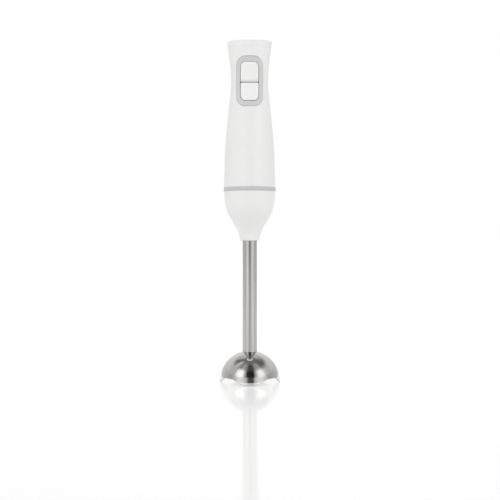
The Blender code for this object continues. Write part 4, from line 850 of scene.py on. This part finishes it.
# %% Finish the remaining solids
FINISHES = {
    NYLON: ["bayonet_socket", "board_carrier", "brush_cap", "cooling_fan", "coupling_housing",
            "coupling_lower", "coupling_upper", "microswitch_high", "microswitch_low", "motor_bracket",
            "rectifier"],
    SURROUND_ABS: ["plunger_high", "plunger_low", "capacitor"],
    ZINC: ["motor_can", "board_screw_lower", "board_screw_upper", "bracket_screw_left", "bracket_screw_right",
           "thrust_washer"],
    SHAFT_STEEL: ["armature", "brush_spring_left", "brush_spring_right", "button_spring_high",
                  "button_spring_low", "drive_shaft", "lower_bearing", "motor_shaft", "retaining_clip",
                  "upper_bearing"],
    RUBBER: ["motor_damper_lower", "motor_damper_upper", "shaft_seal"],
    SINTERED: ["lower_bush", "upper_bush"],
    COPPER: ["commutator", "winding_lower", "winding_upper"],
    FERRITE: ["magnet_left", "magnet_right"],
    CARBON: ["brush_left", "brush_right"],
    BOARD: ["switch_board"],
}
for finish, names in FINISHES.items():
    for name in names:
        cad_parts[name].material_slots[0].material = finish
print(sum(map(len, FINISHES.values())), "solids keep their mesh")

# %% [markdown]
# ## Floor, light and camera
# A product like this is shown on white: a pale, glossy floor lit a little from below, a bright backdrop, and
# two tall soft boxes at the front. The gap between them stays dark, and draws the dark line down the tube and
# the dark heart of the bell; without it polished steel would look like plaster.

# %% Floor
FLOOR_HALF = 14.0


def floor():
    """A level grid far wider than the view."""
    line = np.linspace(-FLOOR_HALF, FLOOR_HALF, 5)
    x, y = np.meshgrid(line, line, indexing="ij")
    corners = np.stack([x, y, 0 * x], -1).reshape(-1, 3)
    mesh = bpy.data.meshes.new("studio_floor")
    mesh.from_pydata(corners.tolist(), [], grid_quads(5, 5)[:, ::-1].tolist())
    return bpy.data.objects.new("studio_floor", mesh)


material, tree, shader, place = new_finish("lit_acrylic_floor", 0.10, IOR=1.40, Emission_Strength=0.545,
                                           Emission_Color=(1.0, 1.0, 1.0, 1.0))
grain = add_node(tree, "TexNoise", {"Vector": place, "Scale": every(400)})
tint(tree, shader, grain.outputs["Fac"], "#9C9C9C", "#A0A0A0")
ground = floor()
bpy.context.scene.collection.objects.link(ground)
ground.data.materials.append(material)
print("floor", 2 * FLOOR_HALF, "m wide")

# %% [markdown]
# ## Soft boxes as a sky
# Area lights have hard edges in a mirror, while a real soft box fades at its cloth edges. So the light is
# painted on the world by direction: three ramps round the horizon, one above the other, and a level overhead.

# %% World light
WORLD_STRENGTH = 2.0         # the ramps hold half the brightness, because a ramp stops at 1
HORIZON = ((-180, 0.9), (-138, 0.75), (-110, 0.6), (-78, 0.46), (-60, 0.7), (-43, 1.05), (-29, 0.95),
           (-16, 0.65), (-4, 0.1), (11, 0.08), (22, 0.7), (33, 1.0), (46, 1.0), (62, 0.75), (80, 0.45),
           (110, 0.55), (138, 0.7), (180, 0.9))           # degrees round from the front, brightness
MID_BAND = ((-180, 0.95), (-129, 0.78), (-90, 0.6), (-68, 0.6), (-57, 1.25), (-45, 1.5), (-33, 1.4),
            (-21, 0.5), (-11, 0.03), (15, 0.02), (26, 0.5), (37, 1.15), (50, 1.35), (61, 1.15), (72, 0.7),
            (90, 0.6), (129, 0.75), (180, 0.95))
HIGH_BAND = ((-180, 0.8), (-138, 0.55), (-114, 0.18), (-99, 0.3), (-84, 0.75), (-68, 0.4), (-52, 0.28),
             (-38, 0.5), (-22, 0.3), (-5, 0.08), (15, 0.08), (35, 0.35), (52, 0.45), (72, 0.2), (95, 0.14),
             (118, 0.22), (145, 0.55), (180, 0.8))
OVERHEAD = 0.2
RISES = (0.26, 0.42), (0.6, 0.82), (0.9, 0.99)            # where each level gives way to the next


def band(tree, turn, stops):
    """Brightness all the way round, eased between stops."""
    ramp = add_node(tree, "ValToRGB", {"Fac": turn})
    ramp.color_ramp.interpolation = "EASE"
    for _ in range(len(stops) - 2):
        ramp.color_ramp.elements.new(0.5)
    for element, (degrees, level) in zip(ramp.color_ramp.elements, stops):
        element.position = degrees / 360 + 0.5
        element.color = (*[level / WORLD_STRENGTH] * 3, 1.0)
    return ramp.outputs["Color"]


def studio_world():
    """Brightness by direction (x, y, z): turn = atan2(x, -y) picks a place in all three bands; as z rises
    they give way to one another and at last to the overhead level. What the camera sees is plain white."""
    world = bpy.data.worlds.new("white_studio")
    world.use_nodes = True
    tree = world.node_tree
    way = add_node(tree, "SeparateXYZ", {"Vector": add_node(tree, "TexCoord", {}).outputs["Generated"]})
    front = add_node(tree, "Math", {0: way.outputs["Y"], 1: -1.0}, operation="MULTIPLY")
    turn = add_node(tree, "Math", {0: way.outputs["X"], 1: front.outputs[0]}, operation="ARCTAN2")
    share = add_node(tree, "MapRange", {"Value": turn.outputs[0], "From Min": -np.pi, "From Max": np.pi})
    level, *uppers = [band(tree, share.outputs["Result"], stops) for stops in (HORIZON, MID_BAND, HIGH_BAND)]
    for (start, stop), upper in zip(RISES, [*uppers, (*[OVERHEAD / WORLD_STRENGTH] * 3, 1.0)]):
        rise = add_node(tree, "MapRange", {"Value": way.outputs["Z"], "From Min": start, "From Max": stop},
                        interpolation_type="SMOOTHSTEP")
        level = add_node(tree, "Mix", {0: rise.outputs["Result"], 6: level, 7: upper},
                         data_type="RGBA").outputs[2]
    white = (*[1.0 / WORLD_STRENGTH] * 3, 1.0)
    seen = add_node(tree, "Mix", {0: add_node(tree, "LightPath", {}).outputs["Is Camera Ray"],
                                  6: level, 7: white}, data_type="RGBA")
    background = tree.nodes["Background"]
    background.inputs["Strength"].default_value = WORLD_STRENGTH
    tree.links.new(seen.outputs[2], background.inputs["Color"])
    return world


bpy.context.scene.world = studio_world()
bpy.context.scene.view_settings.view_transform = "Standard"
print("sky of", len(HORIZON), len(MID_BAND), "and", len(HIGH_BAND), "stops")

# %% [markdown]
# ## Fill lights
# White plastic needs light from the front as well, but a lamp there would fill the dark gap in the steel. So
# the fill lights are switched off for mirror reflections: they shade the plastic and never show.

# %% Fill lights
def fill_light(name, watts, size, place):
    """A square light turned towards the middle of the handle."""
    light = bpy.data.lights.new(name, "AREA")
    light.energy, light.size = watts, size
    lamp = bpy.data.objects.new(name, light)
    lamp.location = place
    away = lamp.location - Vector((0.0, 0.0, FILL_TARGET_Z))
    lamp.rotation_euler = away.to_track_quat("Z", "Y").to_euler()
    lamp.visible_glossy = False
    bpy.context.scene.collection.objects.link(lamp)
    print(name, watts, "watts")


FILL_TARGET_Z = 0.25
fill_light("fill_front", 8.6, 1.4, (0.05, -1.2, 1.35))
fill_light("fill_left", 2.6, 1.0, (-1.4, -0.2, 0.7))
fill_light("fill_right", 2.8, 1.0, (1.4, -0.2, 0.7))
fill_light("fill_over", 6.0, 1.4, (0.0, 0.9, 1.7))

# %% Camera
EYE, PITCH, ROLL = (0.0003, -1.0, 0.1602), np.radians(0.47), np.radians(0.06)
FIELD_OF_VIEW, SHIFT_Y = np.radians(29.98), -0.02
camera = bpy.data.objects.new("camera_front", bpy.data.cameras.new("camera_front"))
camera.data.angle, camera.data.shift_y = FIELD_OF_VIEW, SHIFT_Y
camera.location = EYE
camera.rotation_euler = (np.pi / 2 - PITCH, ROLL, 0.0)
bpy.context.scene.collection.objects.link(camera)
bpy.context.scene.camera = camera
print("camera", np.round(EYE, 3), "metres, field", round(float(np.degrees(FIELD_OF_VIEW)), 1), "degrees")
